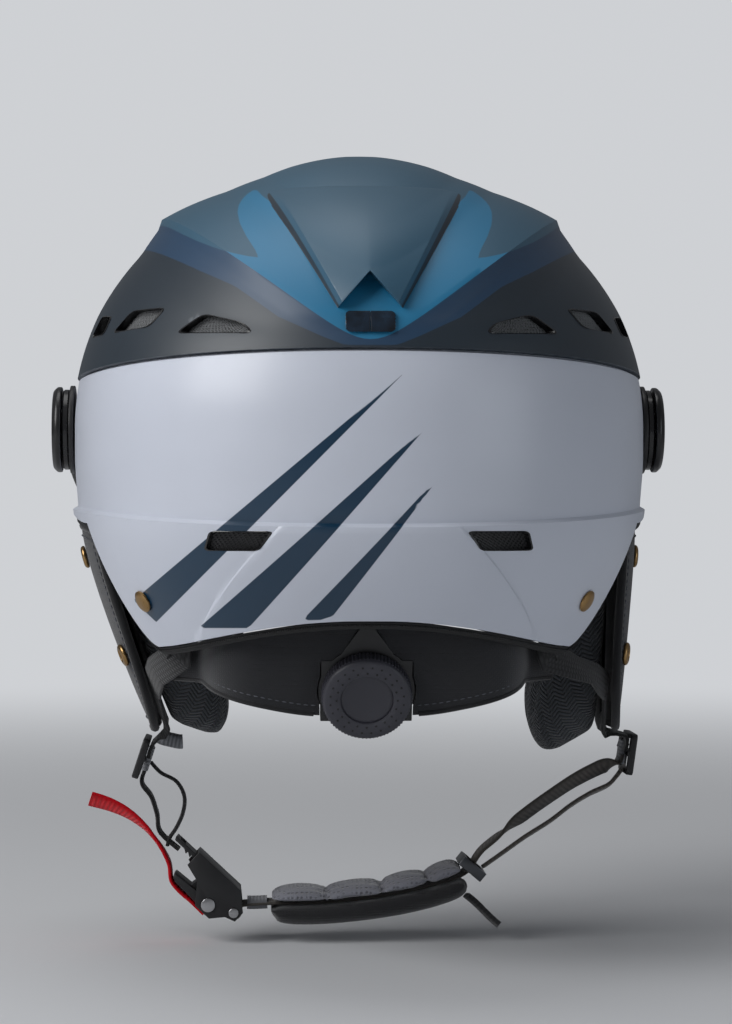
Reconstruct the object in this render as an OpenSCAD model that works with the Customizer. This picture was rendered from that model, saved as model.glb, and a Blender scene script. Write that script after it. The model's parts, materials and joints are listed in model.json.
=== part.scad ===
// Paragliding helmet with a flip-up visor, a fit dial and a ratchet buckle.
// Millimetres. +Z is up, the face looks along -Y and the wearer's left is +X.
// The origin is the middle of the head, level with the visor's pivot axis.

/* [Shell] */
// Width of the shell at the visor pivots
shell_w = 220; // [212:1:226]
// Distance from the pivot axis forward to the brow
shell_front = 126; // [120:1:130]
// Distance from the pivot axis back to the rearmost point
shell_rear = 140; // [134:1:146]
// Height of the crown above the pivot axis
shell_top = 105; // [100:1:110]
// Wall of the two moulded shells
shell_t = 2.2; // [1.8:0.1:2.4]
// Height of the split between the shells at the sides
split_z = 19; // [16:1:22]
// Rise of the split at the middle of the back
split_rise = 6; // [3:0.5:8]
// Height over which the rear shell slips under the upper one
overlap_h = 5; // [4:0.5:6]
// Height of the crease round the rear shell
crease_z = -35; // [-37:0.5:-33]
// Height of the brow edge above the pivot axis
brow_z = 6; // [3:0.5:9]
// Height of the lower edge of the rear shell at the sides
side_z = -33; // [-35:0.5:-31]
// Height of the lower corners of the rear shell
corner_z = -81; // [-84:1:-78]
// Height of the lower edge at the middle of the back
nape_z = -70; // [-73:1:-67]

/* [Liner] */
// Foam between the shell and the head at the sides
foam_side = 19; // [17:0.5:21]
// Foam at the brow
foam_front = 20; // [18:0.5:22]
// Foam at the back
foam_rear = 25; // [22:0.5:27]
// Foam at the crown
foam_top = 24; // [21:0.5:26]
// Thickness of the comfort pads
pad_t = 7; // [5:0.5:8]

/* [Visor] */
// Distance from the brow of the shell to the visor's outer face
visor_air = 7; // [6:0.5:10]
// Wall of the visor lens
lens_t = 2; // [1.8:0.1:2.4]
// Angle of the lens above level when it is down
lens_up = 10; // [8:1:12]
// Angle of the lens below level when it is down
lens_down = 38; // [36:1:39]
// Radius of the pivot axles
axle_r = 5; // [4.5:0.1:5.5]
// Radius of the pivot caps
cap_r = 16.5; // [15.5:0.5:17.5]
// Thickness of the pivot caps
cap_t = 3.4; // [3:0.1:4]

/* [Fit dial] */
// Radius of the fit dial
dial_r = 16; // [14.5:0.5:17]
// Thickness of the fit dial
dial_t = 7; // [6:0.5:8]
// How far the dial leans down from facing straight back
dial_lean = 25; // [22:1:28]
// Pitch radius of the pinion
pinion_r = 4; // [3.8:0.1:4.2]
// Number of teeth on the pinion
pinion_teeth = 10; // [10:2:10]

/* [Ear covers] */
// Height of the ear covers
flap_h = 79; // [76:1:82]
// How far the left cover leans in at its lower edge
lean_left = 27; // [24:1:29]
// How far the right cover leans in at its lower edge
lean_right = 6; // [4:1:9]
// Thickness of the ear covers
flap_t = 2.6; // [2.2:0.1:3]

/* [Chin strap] */
// Width of the webbing
web_w = 16; // [14:0.5:16.4]
// Thickness of the webbing
web_t = 1.6; // [1.2:0.1:1.8]
// Dip of the buckle below level
buckle_dip = 43; // [41:1:45]
// Width of the toothed ladder
ladder_w = 13.4; // [12:0.2:14]
// Pitch of the ladder's teeth
ladder_pitch = 2; // [1.6:0.1:2.4]
// Width of the chin pad
chin_w = 30; // [27:1:32]

/* [Hidden] */

// Clearance between a part and what it lies on
gap = 0.3;
// Running clearance of an axle in its bore, on the radius
run = 0.05;
$fn = 48;

half_w = shell_w / 2;
plan_power = 2.2;
// The rear shell's outer face lies this far inside the upper shell's
lower_set = 0.8;
crease_sink = 1.4;
crease_step = 0.6;
tuck_in = 0.14;
// Side angles, from straight forward at -90 to straight back at 90
angles = [-90, -81, -72, -63, -54, -46, -40, -34, -28, -20, -10, 0, 10, 20, 25, 29, 32, 35, 38,
    41, 45, 50, 57, 64, 71, 77, 84, 90];
back_angles = [for (b = angles) if (b >= -40) b];
foam_shell_gap = 2 * shell_t + 2 * gap;
// Air between the upper shell and the foam
foam_air = 0.9;

function smooth(x, x0, x1) = let (t = min(1, max(0, (x - x0) / (x1 - x0)))) t * t * (3 - 2 * t);
function unit(v) = v / norm(v);
// Both sides of a half list of side angles, all the way round
function around(list) = concat(list, [for (i = [len(list) - 2:-1:1]) 180 - list[i]]);
// The same, left open at the front
function across(list) = concat(list, [for (i = [len(list) - 2:-1:0]) 180 - list[i]]);
function fold(a) = a > 90 ? 180 - a : a;
function super(a, w, r, n) = pow(pow(abs(cos(a)) / w, n) + pow(abs(sin(a)) / r, n), -1 / n);
function outer_r(a, off) = super(a, half_w + off, (sin(a) > 0 ? shell_rear : shell_front) + off,
    plan_power);

// Lower edge of the upper shell
function edge_z(b) = b >= 0 ? split_z + split_rise * pow(sin(b), 2)
    : split_z + (brow_z - split_z) * smooth(-b, 25, 55);
// Lower edge of the rear shell, which runs up in front of the ears to the brow
function low_z(b) = b < -20 ? side_z + (brow_z - side_z) * smooth(-b, 20, 46)
    : b < 29 ? side_z - 3 * smooth(b, 10, 29)
    : b < 45 ? side_z - 3 + (corner_z - side_z + 3) * pow(sin((b - 29) / 16 * 90), 1.1)
    : corner_z + (nape_z - corner_z) * smooth(b, 42, 88);

// A point of the helmet's outer form at azimuth a and height z, moved out by off
function tuck(z) = 1 - tuck_in * pow(max(0, crease_z + 5 - z) / 46, 1.5);
function form(a, z, off) = let (h = shell_top + off, k = z > 0 ? sqrt(max(0, 1 - pow(z / h, 2))) : tuck(z),
    r = outer_r(a, off) * k) [r * cos(a), r * sin(a), z];
// The crest climbs from the middle of the back to the sides as a wide V
crest_foot = 18.4;
crest_slope = 0.85;
crest_round = 11;
crest_profile = [[-60, 0], [-25, -1], [-8, 0.9], [0, 3], [10, 1.2], [25, -1.8], [40, -3], [60, -2],
    [78, 0]];
function crest_line(x) = crest_foot + crest_slope * sqrt(x * x + crest_round * crest_round);
function crest(a, z) = let (b = fold(a), d = z - crest_line(form(a, z, 0)[0]), e = edge_z(b))
    lookup(d, crest_profile) * smooth(b, -35, 15) * (1 - 0.6 * smooth(b, 65, 90)) * smooth(z,
        e + overlap_h - 1, e + 13);
function skin(a, z, off) = form(a, z, off + crest(a, z));
function core(a, z, off) = form(a, z, off + min(0, crest(a, z)));
// The form's depth behind the pivot axis, at a given width and height
function back_y(x, z, off) = let (k = sqrt(1 - pow(z / (shell_top + off), 2)))
    (shell_rear + off) * k * pow(max(0, 1 - pow(abs(x) / ((half_w + off) * k), plan_power)),
        1 / plan_power);
function lower_off(b, z) = z > edge_z(b) - 0.8 ? -shell_t - gap
    : -lower_set - crease_sink * smooth(-z, 10, -crease_z) + (crease_sink + crease_step) *
        smooth(crease_z - z, 0, 2);
// Frame on the outer form, with its z axis straight out of it
function form_normal(a, z, off) = unit(cross(form(a + 0.5, z, off) - form(a - 0.5, z, off), form(a,
    z + 0.5, off) - form(a, z - 0.5, off)));
module aim(p, n) translate(p) rotate([0, acos(n[2]), atan2(n[1], n[0])]) children();
module on_form(a, z, off) aim(form(a, z, off), form_normal(a, z, off)) children();
// The room for the head
function room_k(z, h) = z > 0 ? sqrt(max(0, 1 - pow(z / h, 2))) : 1 - 0.1 * pow(-z / 70, 2);
function room(a, z, off) = let (w = half_w - foam_shell_gap - foam_side - off,
    r = (sin(a) > 0 ? shell_rear - foam_rear : shell_front - foam_front) - foam_shell_gap - off,
    h = room_top - off, q = super(a, w, r, 2) * room_k(z, h)) [q * cos(a), q * sin(a), z];
room_top = shell_top - shell_t - foam_air - foam_top;

function flat_list(rows) = [for (r = rows) for (p = r) p];
function quad(a, b, c, d) = [[a, b, c], [a, c, d]];
function band(rows, n, wrap, first, flip) = [for (j = [0:rows - 2], i = [0:(wrap ? n - 1 : n - 2)])
    let (a = first + j * n + i, b = first + j * n + (i + 1) % n, c = b + n, d = a + n)
    each flip ? quad(a, b, c, d) : quad(a, d, c, b)];

// A wall between two grids of points, open all round or closed on itself
module slab(outer, inner, wrap = false) {
    rows = len(outer);
    n = len(outer[0]);
    m = rows * n;
    last = (rows - 1) * n;
    ends = [for (i = [0:(wrap ? n - 1 : n - 2)]) let (k = (i + 1) % n)
        each concat(quad(i, k, m + k, m + i), quad(last + i, m + last + i, m + last + k, last + k))];
    sides = wrap ? [] : [for (j = [0:rows - 2]) let (a = j * n, b = a + n, c = a + n - 1, d = c + n)
        each concat(quad(a, m + a, m + b, b), quad(c, d, m + d, m + c))];
    polyhedron(concat(flat_list(outer), flat_list(inner)),
        concat(band(rows, n, wrap, 0, false), band(rows, n, wrap, m, true), ends, sides));
}

// A wall between two domes, each with rows from its edge up and a point at its top
module dome_slab(outer, inner, outer_tip, inner_tip) {
    rows = len(outer);
    n = len(outer[0]);
    m = rows * n;
    last = m - n;
    tip = 2 * m;
    ends = [for (i = [0:n - 1]) let (k = (i + 1) % n) each concat(quad(i, k, m + k, m + i),
        [[last + i, tip, last + k], [m + last + i, m + last + k, tip + 1]])];
    polyhedron(concat(flat_list(outer), flat_list(inner), [outer_tip, inner_tip]),
        concat(band(rows, n, true, 0, false), band(rows, n, true, m, true), ends));
}

// A closed solid through rows of points that each go once round
module loft(rows) {
    n = len(rows[0]);
    last = (len(rows) - 1) * n;
    polyhedron(flat_list(rows), concat(band(len(rows), n, true, 0, false),
        [for (i = [1:n - 2]) [0, i, i + 1]], [for (i = [1:n - 2]) [last, last + i + 1, last + i]]));
}

// A smooth line through chosen points, k steps to each
function curve(p, k) = concat([for (i = [0:len(p) - 2], j = [0:k - 1])
    let (a = p[max(0, i - 1)], b = p[i], c = p[i + 1], d = p[min(len(p) - 1, i + 2)], t = j / k)
    b + (c - a) * t / 2 + (2 * a - 5 * b + 4 * c - d) * t * t / 2 + (3 * b - a - 3 * c + d) * pow(t,
        3) / 2],
    [p[len(p) - 1]]);
function heading(p, i) = unit(p[min(len(p) - 1, i + 1)] - p[max(0, i - 1)]);
// The four corners of a strip at each point of its path
function strip(p, w, t, side) = [for (i = [0:len(p) - 1])
    let (d = heading(p, i), s0 = is_list(side[0]) ? side[i] : side, s = unit(s0 - (s0 * d) * d),
        n = cross(d, s))
    [p[i] + s * w / 2 + n * t / 2, p[i] - s * w / 2 + n * t / 2,
        p[i] - s * w / 2 - n * t / 2, p[i] + s * w / 2 - n * t / 2]];
module ribbon(p, w, t, side) loft(strip(p, w, t, side));

module both_sides() {
    children();
    mirror([1, 0, 0]) children();
}

/* Vents: corners as [side angle, height] */
upper_vents = [[[21.4, 33.2], [32.4, 33.2], [33.4, 40.2], [24.4, 41.2]],
    [[37.3, 33.2], [50.4, 34.2], [53.4, 41.2], [42.4, 41.2]], [[57.4, 31.2], [72.4, 30.2], [70.4,
        34.2], [62.4, 38.2]]];
rear_vents = [[[64, -45.5], [73.5, -45.5], [76, -38.5], [65.5, -38.5]]];

// A wedge through the wall for one vent
module vent_cut(corners) {
    inner = 0.6;
    outer = 1.1;
    loft([for (k = [inner, outer]) [for (c = corners) let (p = form(c[0], c[1], 0)) [p[0] * k,
        p[1] * k, p[2]]]]);
}
module vent_cuts(list) both_sides() for (v = list) vent_cut(v);
// A thin curved plate that fills one vent, set in from the outer form
module vent_plate(c, set, t) {
    grow = 0.9;
    function at(u, v) = let (p = (c[0] * (1 - u) + c[1] * u) * (1 - v) + (c[3] * (1 - u) + c[2] * u) * v) p;
    function grid(off) = [for (v = [0:0.5:1]) [for (u = [0:0.25:1])
        let (p = at(0.5 + (u - 0.5) * grow, 0.5 + (v - 0.5) * grow)) skin(p[0], p[1], off)]];
    slab(grid(-set), grid(-set - t));
}

rivet_at = [46, -64];
rivet_r = 1.8;
module rivet_frame() on_form(rivet_at[0], rivet_at[1], crease_step - lower_set) children();
module rivet_hole() rivet_frame() translate([0, 0, -12]) cylinder(r = rivet_r + 0.2, h = 20);

// Raised panel that widens upwards from a notched end and runs out into the crown
panel_low = [11.3, 38.8];
panel_high = [38.8, 87.5];
panel_notch = 51.9;
panel_h = 3.6;
module centre_panel() {
    function at(u, t, off) = let (x = u * (panel_low[0] + (panel_high[0] - panel_low[0]) * t),
        z = panel_low[1] + (panel_high[1] - panel_low[1]) * t + (panel_notch - panel_low[1]) * (1 -
            abs(u)) * pow(1 - t, 2),
        lift = crest(atan2(back_y(x, z, 0), x), z)) [x, back_y(x, z, off + lift), z];
    function grid(top) = [for (t = [0:0.2:1]) [for (u = [1:-0.25:-1])
        at(u, t, top ? (1 - t) * (panel_h + 0.8 * (1 - abs(u))) - 0.3 * t : -1.2)]];
    slab(grid(true), grid(false));
}
module upper_shell() {
    z_rows = [0, 0.09, 0.2, 0.34, 0.5, 0.66, 0.8, 0.9, 0.97];
    list = around(angles);
    function rows(off) = [for (k = z_rows) [for (a = list) let (e = edge_z(fold(a)),
        z = e + (shell_top + off - e) * k)
        skin(a, z, off)]];
    color([0.05, 0.3, 0.42]) difference() {
        union() {
            dome_slab(rows(0), rows(-shell_t), [0, 0, shell_top], [0, 0, shell_top - shell_t]);
            centre_panel();
        }
        vent_cuts(upper_vents);
    }
}

module lower_shell() {
    rows_z = [-200, -74, -66, -58, -50, -43, crease_z - 2, crease_z, -24, -10, 4];
    list = across(back_angles);
    steps = len(rows_z) + 3;
    // Heights of one column, squeezed together where the edge is high
    function column(b) = let (e = edge_z(b), low = low_z(b),
        raw = concat(rows_z, [e - 1.4, e - 0.6, e + overlap_h]))
        [for (j = [0:steps - 1]) max(raw[j], low + 0.35 * j)];
    function rows(extra) = let (cols = [for (a = list) column(fold(a))])
        [for (j = [0:steps - 1]) [for (i = [0:len(list) - 1]) let (b = fold(list[i]), z = cols[i][j])
            form(list[i], z, (j >= steps - 2 ? -shell_t - gap : lower_off(b, z)) + extra)]];
    color([0.86, 0.88, 0.9]) difference() {
        slab(rows(0), rows(-shell_t));
        vent_cuts(rear_vents);
        both_sides() rivet_hole();
        both_sides() pivot_bolt_hole();
    }
}

module impact_liner() {
    list = around(angles);
    shell_rows = [-200, -66, -50, -34, -17, 0];
    high = [0.37, 0.45, 0.55, 0.65, 0.75, 0.85, 0.92, 0.97];
    n = len(shell_rows) + 4 + len(high);
    function bottom(b) = max(low_z(b), b < -40 ? edge_z(b) : low_z(b)) + 1;
    function column(b) = let (e = edge_z(b) + overlap_h,
        raw = concat(shell_rows, [e * 0.6, e + 0.8, e + 4, (e + 4 + shell_top * high[0]) / 2],
            [for (k = high) shell_top * k]))
        [for (j = [0:n - 1]) max(raw[j], bottom(b) + 0.6 * j)];
    cols = [for (a = list) column(fold(a))];
    outer = [for (j = [0:n - 1]) [for (i = [0:len(list) - 1])
        let (q = j > 7 ? (shell_top - shell_t - foam_air) / shell_top : 1)
            core(list[i], cols[i][j] * q, j > 7 ? -shell_t - foam_air : -foam_shell_gap - 0.2)]];
    inner = [for (j = [0:n - 1]) [for (i = [0:len(list) - 1]) let (z = cols[i][j])
        room(list[i], z > 0 ? z * room_top / shell_top : z, 0)]];
    color([0.12, 0.12, 0.13]) difference() {
        dome_slab(outer, inner, [0, 0, shell_top - shell_t - foam_air], [0, 0, room_top]);
        vent_cuts(upper_vents);
        both_sides() pivot_bolt_hole();
        both_sides() rivet_frame() translate([0, 0, -13]) cylinder(r = 5.5, h = 12);
    }
}

mesh_t = 0.6;
module upper_vent_meshes() color([0.45, 0.46, 0.46]) both_sides()
    for (v = upper_vents) vent_plate(v, shell_t + foam_air + 0.4, mesh_t);

module rear_vent_grilles() color([0.1, 0.1, 0.1]) both_sides()
    for (v = rear_vents) vent_plate(v, lower_set + 1.2, 0.9);

// A moulding along the edge of a shell
module edge_strip(list, edge, off_out, off_in, drop, lift) loft([for (a = list) let (z = edge(fold(a)))
    [form(a, z - drop, off_out), form(a, z - drop, off_in), form(a, z - lift, off_in), form(a,
        z - lift, off_out)]]);

module lower_edge_trim() color([0.06, 0.06, 0.06]) edge_strip(across([for (b = back_angles) if (b >=
    -34) b]),
    function (b) low_z(b), -lower_set + 0.1, -lower_set - crease_sink - shell_t, 2.9, gap);

front_half = [for (b = angles) if (b <= -46) b];
module brow_trim() color([0.06, 0.06, 0.06]) edge_strip(concat([for (i = [len(front_half) - 1:-1:1])
    -180 - front_half[i]], front_half),
    function (b) edge_z(b), 0, -shell_t - 5, 2.4, gap);

patch_z = 34;
patch_size = [7.4, 17.2];
module rear_patch() color([0.03, 0.04, 0.06]) aim(skin(90, patch_z, 0), form_normal(90, patch_z,
    0)) translate([0, 0, 0.3])
    linear_extrude(0.9) offset(r = 1.2, $fn = 32) square([patch_size[0] - 2.4, patch_size[1] - 2.4],
        center = true);

// Domed head outside, shank through the shell and a washer inside
module shell_rivets() color([0.6, 0.5, 0.33]) both_sides() rivet_frame() union() {
    translate([0, 0, 0.5]) intersection() {
        translate([0, 0, -7.2]) sphere(r = 9);
        cylinder(r = 4.2, h = 3);
    }
    translate([0, 0, -shell_t - 1.6]) cylinder(r = rivet_r, h = shell_t + 2.2);
    translate([0, 0, -shell_t - 2]) cylinder(r = 3.6, h = 1.2);
}

// The foam's flat facets come this far in from its true curve
pad_seat = 0.8;
// A crowned cushion on the inside of the room for the head, with sewn channels
module room_pad(a0, a1, z0, z1, na, nz, channels) {
    function thick(u, v) = 0.8 + (pad_t - 0.8) * pow(max(0, 1 - pow(abs(u), 4)), 0.5)
        * pow(max(0, 1 - pow(abs(v), 3)), 0.5) * (1 - 0.35 * pow(abs(cos(90 * channels * (u + 1))), 12));
    function at(i, j, k) = let (u = 2 * i / na - 1, v = 2 * j / nz - 1, pull = 1 - 0.05 * (1 - v * v),
        a = (a0 + a1) / 2 + (a1 - a0) / 2 * u * pull, z = (z0 + z1) / 2 + (z1 - z0) / 2 * v * (1 -
            0.06 * (1 - u * u)))
        room(a, z, pad_seat + k * thick(u, v));
    slab([for (j = [0:nz]) [for (i = [0:na]) at(i, j, 0)]], [for (j = [0:nz]) [for (i = [0:na]) at(i,
        j, 1)]]);
}
module brow_pad() color([0.15, 0.15, 0.16]) room_pad(-138, -42, brow_z + 4, brow_z + 30, 24, 6, 3);
module side_pads() color([0.15, 0.15, 0.16]) both_sides() room_pad(-20, 34, -22, 22, 12, 6, 1);
module crown_pad() {
    n = 24;
    rows = [0.80, 0.84, 0.89, 0.94, 0.98];
    function star(a) = 1 - 0.08 * pow(cos(2 * a), 2);
    function pt(a, k, lift) = let (q = 1 - (1 - k) * star(a)) room(a,
        room_top * q - pad_seat - lift * q, pad_seat + lift);
    function lift(k) = 0.8 + (pad_t - 0.8) * pow(smooth(k, 0.79, 0.88), 0.5);
    color([0.15, 0.15, 0.16]) dome_slab([for (k = rows) [for (i = [0:n - 1]) pt(i * 360 / n, k, 0)]],
        [for (k = rows) [for (i = [0:n - 1]) pt(i * 360 / n, k, lift(k))]],
        [0, 0, room_top - pad_seat], [0, 0, room_top - pad_seat - pad_t]);
}

/* Visor: a surface of revolution about the pivot axis, so that it swings clear of the shell */
visor_r = shell_front + visor_air;
visor_power = 2.5;
base_t = 1.8;
hub_t = 2.5;
spring_t = 0.3;
seat_x = half_w - lower_set + gap;
hub_x = seat_x + base_t + 0.15;
cap_x = hub_x + hub_t + spring_t + 0.2;
visor_w = hub_x + hub_t + 0.1;
hub_r = 15.5;
// A point of the visor at angle s out from its middle, turned t up about the axis
function visor_pt(s, t, off) = let (q = super(90 - s, visor_w + off, visor_r + off, visor_power),
    r = q * cos(s))
    [q * sin(s), -r * cos(t), r * sin(t)];
lens_set = 2.4;
lens_side = 62;
arm_in = 57;
function lens_low(s) = -lens_down + 4 * smooth(abs(s), 25, lens_side) + 3 * (1 - smooth(abs(s), 4, 16));
module lens_wall(off_out, off_in, nu, nv, top, low) {
    function grid(off) = [for (j = [0:nv]) [for (i = [0:nu]) let (s = lens_side * (2 * i / nu - 1),
        l = low(s)) visor_pt(s, l + (top - l) * j / nv, off)]];
    slab(grid(off_out), grid(off_in));
}
module visor_lens() color([0.12, 0.14, 0.16, 0.6])
    lens_wall(-lens_set, -lens_set - lens_t, 24, 6, lens_up, function (s) lens_low(s));
module visor_seal() color([0.05, 0.05, 0.05])
    lens_wall(-lens_set - lens_t - gap, -lens_set - lens_t - 1.6, 24, 2, lens_up - 0.3,
        function (s) lens_up - 4);
module visor_tab() {
    function grid(off) = [for (t = [0:3]) [for (i = [0:6]) let (s = -6 + 2 * i)
        visor_pt(s, lens_low(s) - 0.4 + 2 * t, off)]];
    color([0.05, 0.05, 0.05]) slab(grid(-lens_set + 2), grid(-lens_set + 0.1));
}
// Half angle of the arm at distance r from its pivot
function arm_half(r) = (10 + 0.2 * (r - 16)) / r * 57.3;
arm_mid = -13;
module visor_arm() {
    n = 9;
    function grid(off) = [for (j = [0:4]) [for (i = [0:n]) let (s = arm_in + (83.5 - arm_in) * i / n,
        r = visor_r * cos(s)) visor_pt(s, arm_mid + arm_half(max(14, r)) * (j / 2 - 1), off)]];
    slab(grid(-0.1), grid(-lens_set + 0.15));
    translate([hub_x, 0, 0]) rotate([0, 90, 0]) difference() {
        cylinder(r = hub_r, h = hub_t);
        translate([0, 0, -1]) cylinder(r = axle_r + run, h = hub_t + 2);
    }
}
module visor_arm_left() color([0.07, 0.07, 0.08]) visor_arm();
module visor_arm_right() color([0.07, 0.07, 0.08]) mirror([1, 0, 0]) visor_arm();
screw_spots = [[59.5, -1], [59.5, -25]];
module lens_screws() color([0.55, 0.55, 0.56]) both_sides() for (c = screw_spots) {
    p = visor_pt(c[0], c[1], 0);
    aim(p, unit(visor_pt(c[0], c[1], 1) - p)) translate([0, 0, 0.35]) cylinder(r = 2.6, h = 0.9);
}

bolt_r = 4;
module pivot_bolt_hole() rotate([0, 90, 0]) cylinder(r = bolt_r + 0.4, h = half_w + 20);
module pivot_base() rotate([0, 90, 0]) difference() {
    union() {
        translate([0, 0, seat_x]) cylinder(r = cap_r + 0.5, h = base_t);
        translate([0, 0, seat_x]) cylinder(r = axle_r, h = cap_x - seat_x - 0.05);
        translate([0, 0, seat_x - 14]) cylinder(r = bolt_r, h = 15);
    }
    translate([0, 0, seat_x - 20]) cylinder(r = 2.1, h = 40);
}
module pivot_base_left() color([0.05, 0.05, 0.05]) pivot_base();
module pivot_base_right() color([0.05, 0.05, 0.05]) mirror([1, 0, 0]) pivot_base();
module pivot_spring() translate([hub_x + hub_t + 0.05, 0, 0]) rotate([0, 90, 0]) difference() {
    cylinder(r = 9, h = spring_t);
    translate([0, 0, -1]) cylinder(r = axle_r + run, h = 3);
}
module pivot_spring_left() color([0.7, 0.7, 0.72]) pivot_spring();
module pivot_spring_right() color([0.7, 0.7, 0.72]) mirror([1, 0, 0]) pivot_spring();
screw_head_r = 4.6;
module pivot_cap() translate([cap_x, 0, 0]) rotate([0, 90, 0]) rotate_extrude()
    polygon([[2.6, 0], [cap_r, 0], [cap_r, cap_t - 1.6], [cap_r - 1.6, cap_t], [9, cap_t], [8, cap_t - 0.8],
        [screw_head_r + 0.3, cap_t - 0.8], [screw_head_r + 0.3, 1.4], [2.6, 1.4]]);
module pivot_cap_left() color([0.05, 0.05, 0.05]) pivot_cap();
module pivot_cap_right() color([0.05, 0.05, 0.05]) mirror([1, 0, 0]) pivot_cap();
module pivot_screws() color([0.7, 0.7, 0.72]) both_sides() translate([cap_x + 1.45, 0, 0]) rotate([0,
    90, 0])
    difference() {
        union() {
            cylinder(r = screw_head_r, h = 1.7);
            translate([0, 0, -14]) cylinder(r = 2, h = 14.5);
        }
        translate([0, 0, 0.8]) cylinder(r = 2, h = 3, $fn = 6);
    }

/* Nape: an ellipse round the back of the head, leaning in as it goes down */
nape_w = half_w - 24;
nape_r = shell_rear - 43;
nape_lean = 0.4;
nape_top = nape_z - 5;
nape_bottom = nape_z - 35;
pad_back = 1;
function nape_at(a, z, off) = let (q = super(a, nape_w + off, nape_r + off, 2))
    [q * cos(a), q * sin(a) + nape_lean * (z - nape_z), z];
function nape_low(a) = nape_bottom + 11 * smooth(90 - fold(a), 8, 42);
// Room between the pad and its cover, where the arms of the fit system run
function nape_room(a) = let (q = super(a, nape_w + pad_back, nape_r + pad_back, 2),
    level = (nape_r + pad_back + flat_room - q * sin(a)) / sin(a)) gap + (level - gap) *
        smooth(fold(a), 50, 70);
flat_room = 4.6;
function nape_high(a) = min(nape_top, low_z(fold(a)) - 5);
module nape_sheet(a0, off_out, off_in, n, rows, drop) {
    function grid(f) = [for (j = [0:rows]) [for (i = [0:n]) let (u = i / n, a = a0 + (180 - 2 * a0) * u,
        v = j / rows, low = nape_low(a) + drop, top = nape_high(a)) nape_at(a, low + (top - low) * v,
            f(2 * u - 1, 2 * v - 1, a))]];
    slab(grid(off_out), grid(off_in));
}
module nape_pad() {
    function thick(u, v) = 1.2 + (pad_t - 1.2) * pow(max(0, 1 - pow(abs(u), 6)), 0.5)
        * pow(max(0, 1 - pow(v, 4)), 0.5) * (1 - 0.3 * pow(abs(cos(90 * 3 * (u + 1))), 14));
    color([0.09, 0.09, 0.1]) nape_sheet(42, function (u, v, a) pad_back,
        function (u, v, a) pad_back - thick(u, v), 36, 6, 2);
}
cover_t = 1.4;
module nape_cover() {
    function swell(v) = 1.2 * (1 - v * v);
    color([0.07, 0.07, 0.08]) difference() {
        nape_sheet(40, function (u, v, a) pad_back + nape_room(a) + cover_t + swell(v),
            function (u, v, a) pad_back + nape_room(a) + swell(v) * 0.9, 36, 5, 0);
        at_dial() translate([0, 0, 1]) linear_extrude(20) offset(r = 0.6, $fn = 32) housing_outline();
    }
}

/* Fit mechanism: layers out from the head, in a frame whose z axis is the dial's */
dial_z = nape_z - 24;
dial_y = nape_at(90, dial_z, pad_back)[1] + 0.9;
module at_dial() translate([0, dial_y, dial_z]) rotate([-90 - dial_lean, 0, 0]) children();
function from_dial(p) = [p[0], dial_y - sin(dial_lean) * p[1] + cos(dial_lean) * p[2],
    dial_z - cos(dial_lean) * p[1] - sin(dial_lean) * p[2]];
plate_t = 1.2;
rack_z = plate_t + 0.2;
rack_t = 1.8;
front_z = rack_z + rack_t + 0.2;
front_t = 1.6;
knob_z = front_z + front_t + 0.3;
box_w = 33;
shaft_r = 2.4;
tooth_pitch = 2 * PI * pinion_r / pinion_teeth;
tooth_h = 0.85;
arm_h = 6;
arm_off = pinion_r + 0.9 + arm_h / 2;
box_h = 2 * (arm_off + arm_h / 2 + gap + 1.1);
travel = 6;

module housing_outline() union() {
    square([box_w, box_h], center = true);
    circle(r = dial_r + 1.5);
    polygon([[-dial_r - 1, -3], [dial_r + 1, -3], [1.5, -27], [-1.5, -27]]);
}
module dial_housing_back() color([0.1, 0.1, 0.11]) at_dial() difference() {
    translate([0, 0, plate_t / 2]) cube([box_w, box_h, plate_t], center = true);
    translate([0, 0, -1]) cylinder(r = shaft_r + run, h = plate_t + 2);
}
module dial_housing() color([0.1, 0.1, 0.11]) at_dial() difference() {
    union() {
        translate([0, 0, front_z]) linear_extrude(front_t) housing_outline();
        for (s = [-1, 1]) translate([-box_w / 2, s * (box_h / 2 - 0.55) - 0.55, plate_t])
            cube([box_w, 1.1, front_z - plate_t + 0.1]);
    }
    translate([0, 0, front_z - 1]) cylinder(r = shaft_r + run, h = front_t + 2);
}
module tooth(w0, w1, h) polygon([[-w0 / 2, -0.1], [w0 / 2, -0.1], [w1 / 2, h], [-w1 / 2, h]]);
module dial_pinion() color([0.8, 0.8, 0.78]) at_dial() union() {
    translate([0, 0, rack_z]) linear_extrude(rack_t) union() {
        circle(r = pinion_r - 1, $fn = 40);
        for (i = [0:pinion_teeth - 1]) rotate((i + 0.5) * 360 / pinion_teeth) translate([0, pinion_r - 1])
            tooth(1.2, 0.7, 1.5);
    }
    translate([0, 0, 0.2]) cylinder(r = shaft_r, h = knob_z + 3.8);
}
// The arm in its own plane: rack, web and the open frame that the band loops through
frame_in = 12.6;
frame_half = 3.6;
bar_in = frame_in + travel + 6.2;
bar_w = 2.2;
module rack_shape() union() {
    translate([-10, -arm_h / 2]) square([frame_in + 10, arm_h]);
    for (i = [-2:2 + floor(travel / tooth_pitch)])
        translate([i * tooth_pitch, -arm_h / 2]) rotate(180) tooth(0.9, 0.5, tooth_h);
    translate([frame_in - 1.1, -arm_off - frame_half]) difference() {
        square([bar_in + bar_w - frame_in + 1.1, 2 * frame_half]);
        translate([1.1, 1.4]) square([bar_in - frame_in, 2 * frame_half - 2.8]);
    }
    translate([frame_in - 1.1, -arm_off]) square([1.1, arm_off]);
}
module rack_arm(turn) color([0.13, 0.13, 0.14]) at_dial() rotate([0, 0, turn])
    translate([0, arm_off, rack_z]) linear_extrude(rack_t) rack_shape();
module rack_arm_left() rack_arm(0);
module rack_arm_right() rack_arm(180);
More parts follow.
